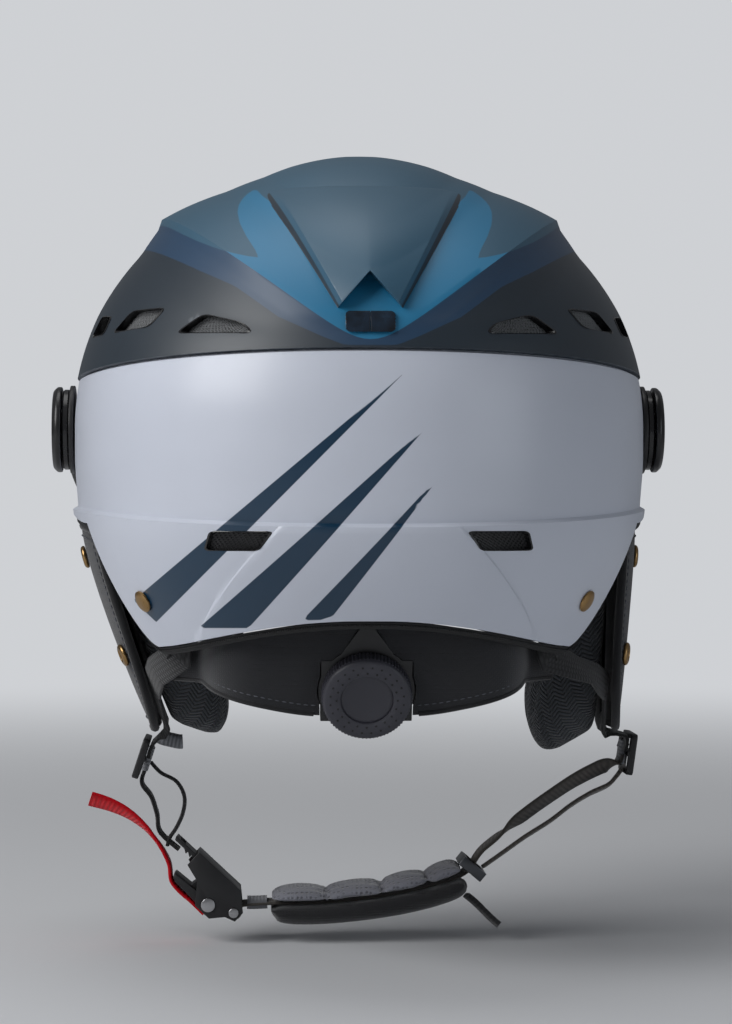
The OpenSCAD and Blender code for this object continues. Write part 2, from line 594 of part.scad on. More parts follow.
module dial_knob() color([0.13, 0.13, 0.15]) at_dial() translate([0, 0, knob_z]) difference() {
    union() {
        cylinder(r = dial_r, h = dial_t);
        for (i = [0:23]) rotate([0, 0, 15 * i]) translate([dial_r, 0, 0.6]) cylinder(r = 0.7,
            h = dial_t - 1.6);
    }
    translate([0, 0, dial_t - 1.2]) cylinder(r = 11.4, h = 2);
    translate([0, 0, -1]) cylinder(r = shaft_r, h = 5);
}
module dial_disc() color([0.18, 0.18, 0.2]) at_dial() translate([0, 0, knob_z + dial_t - 1.15]) union() {
    cylinder(r = 11.2, h = 0.9);
    for (i = [0:19]) rotate([0, 0, 18 * i]) translate([9.6, 0, 0.5]) cylinder(r = 0.5, h = 0.7);
}
// The band loops through the arm's frame with slack for its travel, then climbs to the foam
band_t = 0.7;
loop_x = frame_in + 4.3;
module side_band(s) {
    under = rack_z - 0.2 - band_t / 2;
    over = rack_z + rack_t + 0.2 + band_t / 2;
    end_x = bar_in + bar_w + 4;
    dial_path = [[end_x, 0, over], [loop_x + 3, 0, over], [loop_x + 0.9, 0, over - 0.35], [loop_x, 0,
        (under + over) / 2],
        [loop_x + 0.9, 0, under + 0.35], [loop_x + 3, 0, under], [end_x, 0, under]];
    wall_path = [for (c = [[66, dial_z + 3, 4.5], [61, dial_z + 9, 3.2], [60, nape_z - 12.2, 2.6], [60,
        nape_z - 9.2, -2]]) nape_at(c[0], c[1], c[2])];
    path = concat([for (p = dial_path) from_dial(p)], wall_path, [for (c = [[-6, 1.9], [2, 1.9], [11,
        1.5]]) room(58.5, nape_z + c[0], c[1])]);
    n = len(dial_path);
    up = from_dial([0, -1, 0]) - from_dial([0, 0, 0]);
    sides = [for (i = [0:len(path) - 1]) i < n + 1 ? up : i < n + 2 ? [0.5, 0, 0.8] : [0.85, -0.5, 0]];
    color([0.12, 0.12, 0.13]) if (s > 0) ribbon(path, 4, band_t, sides);
    else mirror([1, 0, 0]) ribbon(path, 4, band_t, sides);
}
module side_band_left() side_band(1);
module side_band_right() side_band(-1);

/* Ear covers and pads: s is 1 on the left and -1 on the right */
flap_top = side_z - 3.4;
flap_x = half_w - 2.6;
function lean(s) = s > 0 ? lean_left : lean_right;
function flap_half(v) = 39 * pow(max(0, 1 - pow(abs(v) * 0.96, 3.2)), 0.5);
function flap_y(v, u) = 2 - 7 * v + u * flap_half(v);
function flap_pt(s, u, v, off) = [s * (flap_x - lean(s) * pow(max(0, v),
    1.25) - 7 * pow(flap_half(v) / 39 * u, 2) + off),
    flap_y(v, u), flap_top - v * flap_h - 2.4 * (1 - v) * pow(max(0, u), 2)];
function flap_across(s, u, v) = unit(flap_pt(s, u + 0.02, v, 0) - flap_pt(s, u - 0.02, v, 0));
function flap_normal(s, u, v) = s * unit(cross(flap_across(s, u, v), flap_pt(s, u, v - 0.02,
    0) - flap_pt(s, u, v + 0.02, 0)));
module flap_wall(s, off_out, off_in, v0, v1, nu, nv, inset) {
    function grid(f) = [for (j = [0:nv]) [for (i = [0:nu]) let (u = 2 * i / nu - 1, w = 2 * j / nv - 1)
        flap_pt(s, u * inset, v0 + (v1 - v0) * j / nv, f(u, w))]];
    if (s > 0) slab(grid(off_in), grid(off_out));
    else slab(grid(off_out), grid(off_in));
}
module ear_cover(s) color([0.07, 0.07, 0.08])
    flap_wall(s, function (u, w) 0, function (u, w) -flap_t - 0.6 * (1 - w * w) * (1 - u * u), 0, 1,
        12, 10, 1);
strap_room = 6.4;
ear_pad_top = 0.24;
function ear_pad_end(s) = s > 0 ? 1.02 : 1.06;
module ear_pad(s) {
    back = -flap_t - strap_room;
    function depth(u, w) = 2 + (12 + 15 * smooth(w, -0.6, 0.5)) * pow(max(0, 1 - pow(abs(u), 3.5)), 0.5)
        * pow(max(0, 1 - pow(abs(w), 4)), 0.5) * (1 - 0.12 * pow(max(0, 1 - (u * u + w * w) * 4), 2));
    color([0.08, 0.08, 0.09]) flap_wall(s, function (u, w) back,
        function (u, w) back - depth(u, w), ear_pad_top, ear_pad_end(s) - 0.06, 12, 10, 0.8);
}
module ear_cover_left() ear_cover(1);
module ear_cover_right() ear_cover(-1);
module ear_pad_left() ear_pad(1);
module ear_pad_right() ear_pad(-1);
snap_spots = [[0.78, 0.62], [-0.78, 0.62], [0, 0.16]];
module ear_snaps() color([0.55, 0.45, 0.25]) for (s = [-1, 1]) for (c = snap_spots) {
    aim(flap_pt(s, c[0], c[1], 0), flap_normal(s, c[0], c[1])) translate([0, 0,
        0.35]) cylinder(r = 4.4, h = 1.8);
}

/* Webbing */
branch_w = 12;
strap_off = -flap_t - strap_room / 2 - 0.3;
function flap_v(z) = (flap_top - z) / flap_h;
cover_low = flap_top - flap_h;
divider_left_at = [flap_x - lean_left + 3.6, -6, cover_low - 11.6];
divider_right_at = [lean_right - flap_x - 4.6, -6, cover_low - 10.6];
divider_h = 16;
divider_t = 2.6;
bar_t = 2.4;
function divider_at(s) = s > 0 ? divider_left_at : divider_right_at;
function divider_turn(s) = s > 0 ? -18 : -8;
module at_divider(s) translate(divider_at(s)) rotate([0, divider_turn(s), 0]) children();
function divider_bar(s, z, y, out) = let (c = divider_at(s), t = divider_turn(s))
    c + [out * cos(t) + z * sin(t), y, z * cos(t) - out * sin(t)];
// The strap ends just over the divider, which it lies on
function bar_seat(s, z, y) = divider_bar(s, z, y, -s * (divider_t / 2 + web_t / 2 + 0.55));
// Each branch lies between the cover and the pad, passes below the cover and ends over the divider
function uv_points(s, uv) = [for (c = uv) flap_pt(s, c[0], c[1], strap_off)];
// Direction in the cover's surface, turned down from straight across by an angle that dies out
function uv_sides(s, uv, turn) = [for (i = [0:len(uv) - 1]) let (c = uv[i],
    t = turn * (1 - i / (len(uv) - 1)),
    down = unit(flap_pt(s, c[0], c[1] + 0.02, 0) - flap_pt(s, c[0], c[1] - 0.02, 0)))
    flap_across(s, c[0], c[1]) * cos(t) + down * sin(t)];
function seat_line(s, y) = [[flap_pt(s, 0, 1, strap_off)[0] + s * 0.8, y - 6, flap_top - flap_h - 1.9],
    bar_seat(s, divider_h / 2 - 1.4, y), bar_seat(s, 1, y)];
module front_branch(s) {
    uv = curve([[-0.72, flap_v(side_z + 0.1)], [-0.6, 0.3], [-0.5, 0.6], [-0.42, 0.84], [-0.4, 0.97]], 3);
    seat = seat_line(s, -7);
    color([0.06, 0.06, 0.07]) ribbon(concat(uv_points(s, uv), seat), branch_w, web_t,
        concat(uv_sides(s, uv, 0), [for (p = seat) [0, 1, 0]]));
}
module rear_branch(s) {
    uv = curve([[0.84, 0.78], [0.74, 0.87], [0.6, 0.97]], 3);
    corner = form(45, corner_z - 0.8, -10);
    top = [s * corner[0], corner[1], corner[2]];
    first = uv_points(s, uv)[0];
    seat = seat_line(s, 7);
    free = [top, top - [0, 0, 3], top * 0.55 + first * 0.45 + [s * 4, 0, -2]];
    color([0.06, 0.06, 0.07]) ribbon(concat(free, uv_points(s, uv), seat), branch_w, web_t,
        concat([[-s * 0.7, 0.7, 0], [-s * 0.7, 0.7, 0], [-s * 0.3, 0.8, 0]], uv_sides(s, uv, 40),
            [for (p = seat) [0, 1, 0]]));
}
module strap_front_left() front_branch(1);
module strap_front_right() front_branch(-1);
module strap_rear_left() rear_branch(1);
module strap_rear_right() rear_branch(-1);
module divider() rotate([0, 90, 0]) translate([0, 0, -divider_t / 2]) linear_extrude(divider_t)
    difference() {
    offset(r = 2, $fn = 32) square([divider_h - 4, 24], center = true);
    for (x = [-1, 1]) translate([x * (divider_h / 4 - 0.4), 0]) square([divider_h / 2 - bar_t - 0.8,
        21], center = true);
}
module strap_divider_left() color([0.05, 0.05, 0.05]) at_divider(1) divider();
module strap_divider_right() color([0.05, 0.05, 0.05]) at_divider(-1) divider();

/* Buckle: x runs along the strap towards the chin, z points out from the chin */
buckle_at = divider_left_at + [-26.5, -9, -52];
module at_buckle() translate(buckle_at) rotate([0, 180 - buckle_dip, 0]) children();
function from_buckle(x, y, z) = buckle_at + [-cos(buckle_dip) * x + sin(buckle_dip) * z, y,
    -sin(buckle_dip) * x - cos(buckle_dip) * z];
wall_in = max(ladder_w, web_w) / 2 + 0.4;
wall_t = 2;
floor_z = -7.8;
floor_t = 1.4;
ladder_z = floor_z + floor_t + gap;
ladder_t = 1.6;
teeth_top = ladder_z + ladder_t + 1;
lever_pin = [3.5, 5];
web_pin = [12.9, 0.5];
pin_r = 1.5;
ladder_end = 3;
ladder_len = 26;
// A flat outline in the buckle's x and z, spread over its width
module across_buckle(w) rotate([90, 0, 0]) translate([0, 0, -w / 2]) linear_extrude(w) children();
module buckle_body() color([0.05, 0.05, 0.05]) at_buckle() difference() {
    union() {
        for (s = [-1, 1]) translate([0, s * (wall_in + wall_t / 2), 0]) across_buckle(wall_t)
            polygon([[-13, floor_z], [9, floor_z], [15.6, -2], [15.6, 2.6], [11.5, 4], [7.4, 8.6], [0,
                8.6], [-6, 1], [-13, -1]]);
        translate([-13, -wall_in - 0.5, floor_z]) cube([22, 2 * wall_in + 1, floor_t]);
    }
    for (c = [lever_pin, web_pin]) translate([c[0], 30, c[1]]) rotate([90, 0,
        0]) cylinder(r = pin_r + 0.02, h = 60);
}
module buckle_pins() color([0.72, 0.7, 0.66]) at_buckle() for (c = [[lever_pin, 2.7], [web_pin, 1.9]])
    translate([c[0][0], 0, c[0][1]]) rotate([90, 0, 0]) union() {
        cylinder(r = pin_r, h = 2 * (wall_in + wall_t) + 0.4, center = true);
        for (s = [-1, 1]) translate([0, 0, s * (wall_in + wall_t + 0.45)]) cylinder(r = c[1], h = 0.7,
            center = true);
    }
module buckle_lever() color([0.07, 0.07, 0.07]) at_buckle() difference() {
    union() {
        translate([lever_pin[0], 0, lever_pin[1]]) rotate([90, 0, 0]) cylinder(r = 3,
            h = 2 * wall_in - 0.6, center = true);
        across_buckle(2 * wall_in - 0.6) polygon([[3.5, 8], [-12, 7.2], [-13.8, 6.2], [-13.8, 4.9],
            [-1, 4], [3.5, 2.4]]);
        across_buckle(ladder_w - 2) polygon([[-6.4, 5], [-2.4, 5], [-4, teeth_top + 0.15], [-4.8,
            teeth_top + 0.15]]);
    }
    translate([lever_pin[0], 30, lever_pin[1]]) rotate([90, 0, 0]) cylinder(r = pin_r + run, h = 60);
}
module buckle_spring() color([0.7, 0.7, 0.72]) at_buckle() across_buckle(8)
    polygon([[8.4, floor_z + floor_t + 0.02], [8.9, floor_z + floor_t + 0.02], [8.9, -2.6], [1.2, 1.8],
        [0.9, 1.4], [8.4, -2.9]]);
module buckle_ladder() color([0.08, 0.08, 0.08]) at_buckle() difference() {
    across_buckle(ladder_w) polygon(concat([[ladder_end, ladder_z + ladder_t], [ladder_end, ladder_z],
        [ladder_end - ladder_len, ladder_z], [ladder_end - ladder_len, ladder_z + ladder_t]],
        [for (i = [0:9]) let (x = ladder_end - 1 - (10 - i) * ladder_pitch) each [[x, ladder_z + ladder_t],
            [x + ladder_pitch - 0.5, teeth_top], [x + ladder_pitch - 0.2, teeth_top - 0.1],
                [x + ladder_pitch - 0.15, ladder_z + ladder_t]]]));
    translate([ladder_end - ladder_len + 1.6, -ladder_w / 2 + 1.4, ladder_z - 1]) cube([2.6,
        ladder_w - 2.8, 4]);
}
lap_z = teeth_top + web_t / 2 + gap;
module strap_lower_left() color([0.06, 0.06, 0.07]) ribbon(curve([bar_seat(1, -1, 0), bar_seat(1, -5,
    0), bar_seat(1, -divider_h / 2 - 2, 0) - [0.6, 0, 0], divider_left_at + [-3.5, -2.5, -16],
    divider_left_at + [-5.6, -6, -23], from_buckle(ladder_end - ladder_len - 6, 0, lap_z),
        from_buckle(ladder_end - ladder_len + 4, 0, lap_z)], 4),
    ladder_w - 3.4, web_t, [0, 1, 0]);

// The line of the webbing through the chin pad, from the buckle's side to the right
chin_y = buckle_at[1];
// A point of the hanging strap: a share of the way from the buckle to the right divider,
// and its height over the line between them
function hang(share, y, over) = [buckle_at[0] + (divider_right_at[0] - buckle_at[0]) * share, y,
    buckle_at[2] + (divider_right_at[2] - buckle_at[2]) * share + over];
chin_line = [hang(0.144, chin_y, -13.6), hang(0.278, chin_y, -20.2), hang(0.413, chin_y, -24.9),
    hang(0.523, chin_y, -27), hang(0.609, chin_y + 0.5, -26.8)];
free_line = [hang(0.651, chin_y + 0.5, -20.5), hang(0.706, chin_y + 2, -15.9), hang(0.761, chin_y + 4,
    -11.3), hang(0.823, chin_y + 5.5, -6.1), hang(0.878, chin_y + 7, -0.5)];
module chin_strap() {
    pin = from_buckle(web_pin[0], 0, web_pin[1]);
    r = pin_r + 0.35 + web_t / 2;
    fold_line = [for (t = [-150:30:120]) pin + [r * cos(t), 0, r * sin(t)]];
    free = concat(free_line, [bar_seat(-1, -divider_h / 2 - 3, 0) + [2, 0, 0], bar_seat(-1, -1, 0)]);
    path = concat(fold_line, curve(concat([hang(0.095, chin_y, -11.4)], chin_line, free), 4));
    n = len(path) - 1;
    color([0.2, 0.18, 0.17]) ribbon(path, web_w, web_t, [for (i = [0:n]) let (k = i / n)
        [0, 1, 0.2 * smooth(k, 0.62, 0.72) * (1 - smooth(k, 0.82, 0.92))]]);
}
module strap_tail() color([0.1, 0.1, 0.11]) ribbon(curve([hang(0.951, chin_y + 8, -10.4), hang(0.908,
    chin_y + 7, -11.6), hang(0.865, chin_y + 5.5, -13.8), hang(0.814, chin_y + 4, -17.6), hang(0.755,
    chin_y + 2.5, -20.8), hang(0.703, chin_y + 1, -24.3), hang(0.657, chin_y, -27.3)], 3), web_w - 2,
    web_t, [0, 1, 0.12]);
// The free part of the pull tab, measured from the buckle
pull_line = [[15.3, 0, 3], [16.1, 0.4, 9], [18.9, 1, 15], [22.5, 1.6, 20], [26.5, 2.2, 24.5], [32.5, 3,
    29.2],
    [39.5, 3.6, 32.7], [46.9, 4, 35]];
module red_pull_tab() {
    path = curve([from_buckle(5, 0, 9.2), from_buckle(-2, 0, 9), from_buckle(-8, 0, 9.2),
        for (p = pull_line) buckle_at + p], 3);
    n = len(path) - 1;
    color([0.75, 0.03, 0.1]) ribbon(path, 13, 1.8, [for (i = [0:n]) let (q = 30 * smooth(i / n, 0.35,
        1)) [0, cos(q), sin(q)]]);
}
module strap_keeper() {
    c = (chin_line[4] + free_line[0]) / 2;
    color([0.55, 0.55, 0.55]) translate(c + [0.6, 0, -2.2]) rotate([0, 50, 0]) difference() {
        cube([4, web_w + 4.4, 11], center = true);
        cube([6, web_w + 1.4, 8], center = true);
    }
}
tab_line = [[-1.1, -0.5, -9.3], [-4.6, -0.5, -12.2], [-11, 0, -18.5], [-14, 0.5, -21]];
module strap_end_tab() color([0.09, 0.09, 0.1])
    ribbon([for (p = tab_line) chin_line[4] + p], 11, 2.4, [0, 1, 0.2]);

// Chin pad: a crowned fleece in four puffs over a plain sleeve
pad_line = curve(chin_line, 7);
function pad_frame(i) = let (d = heading(pad_line, i)) [pad_line[i], [-d[2], 0, d[0]] * -1];
function d_ring(i, h, w, side, gap_z) = let (f = pad_frame(i), k = side > 0 ? f[1] : -f[1])
    [for (t = side > 0 ? [180:-20:0] : [0:20:180]) f[0] + k * (gap_z + h * pow(sin(t), 0.8)) + [0,
        w / 2 * cos(t), 0]];
puffs = 4;
// From the middle of the webbing to the pad on either side of it
pad_seam = web_t / 2 + 2 * gap;
module chin_pad_fleece() {
    n = len(pad_line) - 1;
    color([0.24, 0.24, 0.26]) loft([for (i = [0:n]) let (u = i / n, v = abs(sin(180 * puffs * u)),
        k = pow(max(0, 1 - pow(2 * u - 1, 8)), 0.5)) d_ring(i, 0.6 + (2.2 + 3.6 * pow(v, 0.45)) * k,
            chin_w - 3 + 3 * pow(v, 0.5) * k, 1, pad_seam)]);
}
module chin_pad_sleeve() {
    n = len(pad_line) - 1;
    color([0.06, 0.06, 0.07]) loft([for (i = [0:n]) let (u = i / n, k = pow(max(0, 1 - pow(2 * u - 1,
        10)), 0.5))
        d_ring(i, 1.5 + 7 * k, chin_w - 1, -1, pad_seam)]);
}

upper_shell();
lower_shell();
impact_liner();
rear_vent_grilles();
upper_vent_meshes();
lower_edge_trim();
brow_trim();
rear_patch();
shell_rivets();
brow_pad();
crown_pad();
side_pads();
visor_lens();
visor_seal();
visor_tab();
visor_arm_left();
visor_arm_right();
lens_screws();
pivot_base_left();
pivot_base_right();
pivot_spring_left();
pivot_spring_right();
pivot_cap_left();
pivot_cap_right();
pivot_screws();
nape_pad();
nape_cover();
dial_housing_back();
dial_housing();
dial_knob();
dial_disc();
dial_pinion();
rack_arm_left();
rack_arm_right();
ear_cover_left();
ear_cover_right();
ear_pad_left();
ear_pad_right();
ear_snaps();
side_band_left();
side_band_right();
strap_front_left();
strap_rear_left();
strap_front_right();
strap_rear_right();
strap_divider_left();
strap_divider_right();
strap_lower_left();
chin_strap();
strap_tail();
strap_end_tab();
buckle_body();
buckle_lever();
buckle_spring();
buckle_pins();
buckle_ladder();
red_pull_tab();
chin_pad_sleeve();
chin_pad_fleece();
strap_keeper();
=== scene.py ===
# %% [markdown]
# # A paragliding helmet, seen from behind
# The real object is an air-sports helmet with a painted upper shell, a pale rear shell, a flip-up
# visor, a fit dial and padded straps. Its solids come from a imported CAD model, the frame. Each lesson
# below dresses some of those solids: it says what the piece is, how it could be made and why this way
# was chosen. Lengths are written in millimetres and turned into metres when a mesh is made.

import json
import math

import bmesh
import bpy
import numpy as np
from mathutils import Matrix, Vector

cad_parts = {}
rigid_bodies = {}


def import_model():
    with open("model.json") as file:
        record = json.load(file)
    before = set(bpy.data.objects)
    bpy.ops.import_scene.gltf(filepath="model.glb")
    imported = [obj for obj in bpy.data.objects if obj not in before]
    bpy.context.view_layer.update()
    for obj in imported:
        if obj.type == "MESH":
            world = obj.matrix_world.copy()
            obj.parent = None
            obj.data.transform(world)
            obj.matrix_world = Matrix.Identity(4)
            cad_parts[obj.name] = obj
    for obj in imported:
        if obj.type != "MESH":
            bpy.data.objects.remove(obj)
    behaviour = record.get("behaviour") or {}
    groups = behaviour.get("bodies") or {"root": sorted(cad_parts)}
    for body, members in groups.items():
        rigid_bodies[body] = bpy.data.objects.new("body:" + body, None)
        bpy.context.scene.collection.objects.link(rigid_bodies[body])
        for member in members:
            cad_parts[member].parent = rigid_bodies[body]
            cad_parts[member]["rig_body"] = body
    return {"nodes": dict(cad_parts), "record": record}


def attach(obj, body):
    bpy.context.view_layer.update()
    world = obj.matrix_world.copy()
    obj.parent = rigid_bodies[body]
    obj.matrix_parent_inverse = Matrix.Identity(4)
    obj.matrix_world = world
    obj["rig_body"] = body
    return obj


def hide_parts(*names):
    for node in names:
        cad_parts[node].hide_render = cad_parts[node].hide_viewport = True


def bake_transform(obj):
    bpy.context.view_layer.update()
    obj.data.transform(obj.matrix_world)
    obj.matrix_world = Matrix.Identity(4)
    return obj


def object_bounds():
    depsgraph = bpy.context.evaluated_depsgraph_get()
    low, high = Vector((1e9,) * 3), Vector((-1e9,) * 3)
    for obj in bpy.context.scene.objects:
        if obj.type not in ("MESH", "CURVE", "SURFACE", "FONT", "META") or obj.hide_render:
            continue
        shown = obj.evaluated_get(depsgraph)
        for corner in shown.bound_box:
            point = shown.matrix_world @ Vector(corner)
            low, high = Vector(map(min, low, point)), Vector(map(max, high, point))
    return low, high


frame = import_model()
cad_box = [list(corner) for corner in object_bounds()]
MM = 0.001
SIDES = ((1, "left"), (-1, "right"))

# %% [markdown]
# ## The camera
# A camera is placed before anything is modelled, so that every later choice is judged in the same
# view. This one stands 1.2 m behind the helmet, level with its middle and a little to the left, with
# a long lens: a long lens flattens the perspective, as product photographs do.

# %% Camera
CAMERA_AT, CAMERA_TARGET = (0.0389, 1.2, -0.0319), (-0.0031, 0.0, -0.0319)

def link(obj):
    bpy.context.scene.collection.objects.link(obj)
    return obj

def aim_at(obj, place, target):
    obj.location = Vector(place)
    obj.rotation_euler = (Vector(target) - Vector(place)).to_track_quat("-Z", "Y").to_euler()

camera = link(bpy.data.objects.new("camera", bpy.data.cameras.new("camera")))
camera.data.lens = 108.6
camera.data.sensor_width = 36.0
camera.data.clip_start = 0.05
aim_at(camera, CAMERA_AT, CAMERA_TARGET)
bpy.context.scene.camera = camera
print("camera", [round(x, 3) for x in camera.location])

# %% [markdown]
# ## Small helpers for node trees
# A material is a small graph. A few helpers keep the graphs readable: one feeds a node's inputs by
# name with values or with other nodes' outputs, one adds a node, and the rest are common steps.

# %% Node helpers
def feed(tree, node, inputs):
    for key, value in inputs.items():
        if isinstance(value, bpy.types.NodeSocket):
            tree.links.new(value, node.inputs[key])
        else:
            node.inputs[key].default_value = value

def add(tree, kind, inputs=None, **settings):
    made = tree.nodes.new(kind)
    for key, value in settings.items():
        setattr(made, key, value)
    feed(tree, made, inputs or {})
    return made

def maths(tree, operation, *values):
    return add(tree, "ShaderNodeMath", dict(enumerate(values)), operation=operation).outputs[0]

def mix_colour(tree, factor, first, second):
    return add(tree, "ShaderNodeMix", {0: factor, 6: first, 7: second}, data_type="RGBA").outputs[2]

def remap(tree, value, low, high, to_low=0.0, to_high=1.0):
    return add(tree, "ShaderNodeMapRange", {0: value, 1: low, 2: high, 3: to_low, 4: to_high}).outputs[0]

def object_place(tree):
    return add(tree, "ShaderNodeTexCoord").outputs["Object"]

def noise_at(tree, place, scale, detail):
    inputs = {"Vector": place, "Scale": scale, "Detail": detail}
    return add(tree, "ShaderNodeTexNoise", inputs).outputs["Fac"]

def new_material(name):
    material = bpy.data.materials.new(name)
    material.use_nodes = True
    tree = material.node_tree
    return material, tree, tree.nodes["Principled BSDF"]

def linear(c):
    return c / 12.92 if c <= 0.04045 else ((c + 0.055) / 1.055) ** 2.4

def rgb(r, g, b):
    return (linear(r / 255), linear(g / 255), linear(b / 255), 1.0)

def tinted(colour, k):
    return tuple(min(1.0, c * k) for c in colour[:3]) + (1.0,)

print("node helpers ready")

# %% [markdown]
# ## The studio
# A wide pale floor carries the shadow. Its far part glows in the colour of the world, but only for
# rays from the camera, so there is no horizon and no extra light on the helmet.

# %% Studio floor
BACKDROP, FLOOR_GREY = (0.62, 0.635, 0.66, 1.0), (0.66, 0.67, 0.69, 1.0)
FLOOR_HALF, FLOOR_GAP = 9.0, 0.004
GLOW_FROM, GLOW_FULL = 0.35, 1.9

def plain_mesh(name, points, faces):
    mesh = bpy.data.meshes.new(name)
    mesh.from_pydata([tuple(p) for p in points], [], [tuple(f) for f in faces])
    mesh.update()
    return mesh

def camera_only(tree, plain, glow, share=None):
    seen = add(tree, "ShaderNodeLightPath").outputs["Is Camera Ray"]
    factor = maths(tree, "MULTIPLY", share, seen) if share else seen
    return add(tree, "ShaderNodeMixShader", {0: factor, 1: plain.outputs[0], 2: glow.outputs[0]}).outputs[0]

def floor_material():
    material, tree, surface = new_material("studio floor")
    feed(tree, surface, {"Base Color": FLOOR_GREY, "Roughness": 0.85})
    glow = add(tree, "ShaderNodeEmission", {"Color": BACKDROP})
    distance = add(tree, "ShaderNodeVectorMath", {0: object_place(tree)}, operation="LENGTH")
    far = add(tree, "ShaderNodeMapRange", {0: distance.outputs["Value"], 1: GLOW_FROM, 2: GLOW_FULL},
              interpolation_type="SMOOTHSTEP")
    shown = camera_only(tree, surface, glow, far.outputs[0])
    feed(tree, tree.nodes["Material Output"], {"Surface": shown})
    return material

def studio_floor(z, half=FLOOR_HALF):
    corners = [(-half, -half, z), (half, -half, z), (half, half, z), (-half, half, z)]
    floor = link(bpy.data.objects.new("studio_floor", plain_mesh("studio_floor", corners, [(0, 1, 2, 3)])))
    floor.data.materials.append(floor_material())
    return floor

studio_floor(cad_box[0][2] - FLOOR_GAP)
print("floor", FLOOR_GAP * 1000, "mm under the straps")

# %% [markdown]
# ## Lamps and world
# One large lamp to the upper left gives the long soft highlight, a weak one on the right opens the
# shadows, and a grey world fills the rest. Large lamps give soft shadow edges.

# %% Lamps and world
WORLD_GREY, WORLD_FILL = (0.78, 0.8, 0.84, 1.0), 0.18

def studio_world():
    world = bpy.data.worlds.new("studio")
    bpy.context.scene.world = world
    world.use_nodes = True
    tree = world.node_tree
    fill = tree.nodes["Background"]
    feed(tree, fill, {"Color": WORLD_GREY, "Strength": WORLD_FILL})
    shown = camera_only(tree, fill, add(tree, "ShaderNodeBackground", {"Color": BACKDROP}))
    feed(tree, tree.nodes["World Output"], {"Surface": shown})

def lamp(name, place, target, size, watts, colour=(1.0, 1.0, 1.0)):
    data = bpy.data.lights.new(name, "AREA")
    data.size, data.energy, data.color = size, watts, colour
    aim_at(link(bpy.data.objects.new(name, data)), place, target)

lamp("key", (1.25, 0.75, 0.85), (0.0, 0.0, 0.0), 1.1, 20.0)
lamp("fill", (-1.2, 0.9, 0.1), (0.0, 0.0, -0.05), 0.8, 2.6, (0.86, 0.93, 1.0))
lamp("top", (0.2, -0.2, 1.5), (0.0, 0.0, 0.0), 0.9, 4.5)
studio_world()
bpy.context.scene.view_settings.view_transform = "Standard"
print("studio ready")

# %% [markdown]
# ## Shared effects as shader node groups
# Grain, worn edges, weave and knit are wanted in many materials. Each is built once as a node group
# with named inputs, like a small tool with knobs, and placed in every material that needs it.

# %% Effect groups
def effect(name, knobs, outputs):
    tree = bpy.data.node_groups.new(name, "ShaderNodeTree")
    for knob, default in knobs.items():
        kind = "NodeSocketVector" if default is None else "NodeSocketFloat"
        made = tree.interface.new_socket(knob, in_out="INPUT", socket_type=kind)
        if default is not None:
            made.default_value = default
    for output in outputs:
        tree.interface.new_socket(output, in_out="OUTPUT", socket_type="NodeSocketFloat")
    return tree, tree.nodes.new("NodeGroupInput").outputs, tree.nodes.new("NodeGroupOutput")

def grain_group():
    tree, knobs, out = effect("Grain", {"Scale": 900.0, "Broad": 14.0}, ["Height", "Cloud"])
    place = object_place(tree)
    cloud = remap(tree, noise_at(tree, place, knobs["Broad"], 3.0), 0.3, 0.7)
    feed(tree, out, {"Height": noise_at(tree, place, knobs["Scale"], 2.0), "Cloud": cloud})
    return tree

def wear_group():
    tree, knobs, out = effect("Worn edges", {"Start": 0.53, "Soft": 0.06}, ["Mask"])
    point = add(tree, "ShaderNodeNewGeometry").outputs["Pointiness"]
    patchy = noise_at(tree, object_place(tree), 160.0, 3.0)
    edge = remap(tree, point, knobs["Start"], maths(tree, "ADD", knobs["Start"], knobs["Soft"]))
    feed(tree, out, {"Mask": maths(tree, "MULTIPLY", edge, remap(tree, patchy, 0.35, 0.6))})
    return tree

GRAIN, WEAR = grain_group(), wear_group()
print("effect groups:", GRAIN.name, "/", WEAR.name)

# %% [markdown]
# ## Weave and knit
# Webbing is ribs along its length crossed by yarns, and each second rib is half a yarn further on.
# The knit is a loose pattern of holes with a fine fuzz over it.

# %% Weave and knit
def weave_group():
    tree, knobs, out = effect("Webbing", {"Vector": None, "Across": 0.5, "Along": 3.6}, ["Height", "Mask"])
    split = add(tree, "ShaderNodeSeparateXYZ", {0: knobs["Vector"]}).outputs
    u = maths(tree, "MULTIPLY", split[0], knobs["Across"])
    v = maths(tree, "MULTIPLY", split[1], knobs["Along"])
    step = maths(tree, "MULTIPLY", maths(tree, "MODULO", maths(tree, "FLOOR", u), 2.0), math.pi)
    rib = maths(tree, "ABSOLUTE", maths(tree, "SINE", maths(tree, "MULTIPLY", u, math.pi)))
    yarn = maths(tree, "MULTIPLY_ADD", maths(tree, "SINE", maths(tree, "ADD", v, step)), 0.5, 0.5)
    relief = maths(tree, "ADD", maths(tree, "MULTIPLY", yarn, 0.6), 0.4)
    height = maths(tree, "MULTIPLY", maths(tree, "POWER", rib, 0.6), relief)
    feed(tree, out, {"Height": height, "Mask": remap(tree, height, 0.15, 0.9)})
    return tree

def knit_group():
    tree, knobs, out = effect("Knit mesh", {"Scale": 520.0, "Open": 0.42}, ["Height", "Mask"])
    place = object_place(tree)
    cells = add(tree, "ShaderNodeTexVoronoi", {"Vector": place, "Scale": knobs["Scale"],
                                               "Randomness": 0.25})
    hole = remap(tree, cells.outputs["Distance"], 0.1, knobs["Open"])
    fuzz = maths(tree, "MULTIPLY", noise_at(tree, place, 2600.0, 2.0), 0.35)
    feed(tree, out, {"Height": maths(tree, "ADD", hole, fuzz), "Mask": hole})
    return tree

WEBBING, KNIT = weave_group(), knit_group()
print("effect groups:", WEBBING.name, "/", KNIT.name)

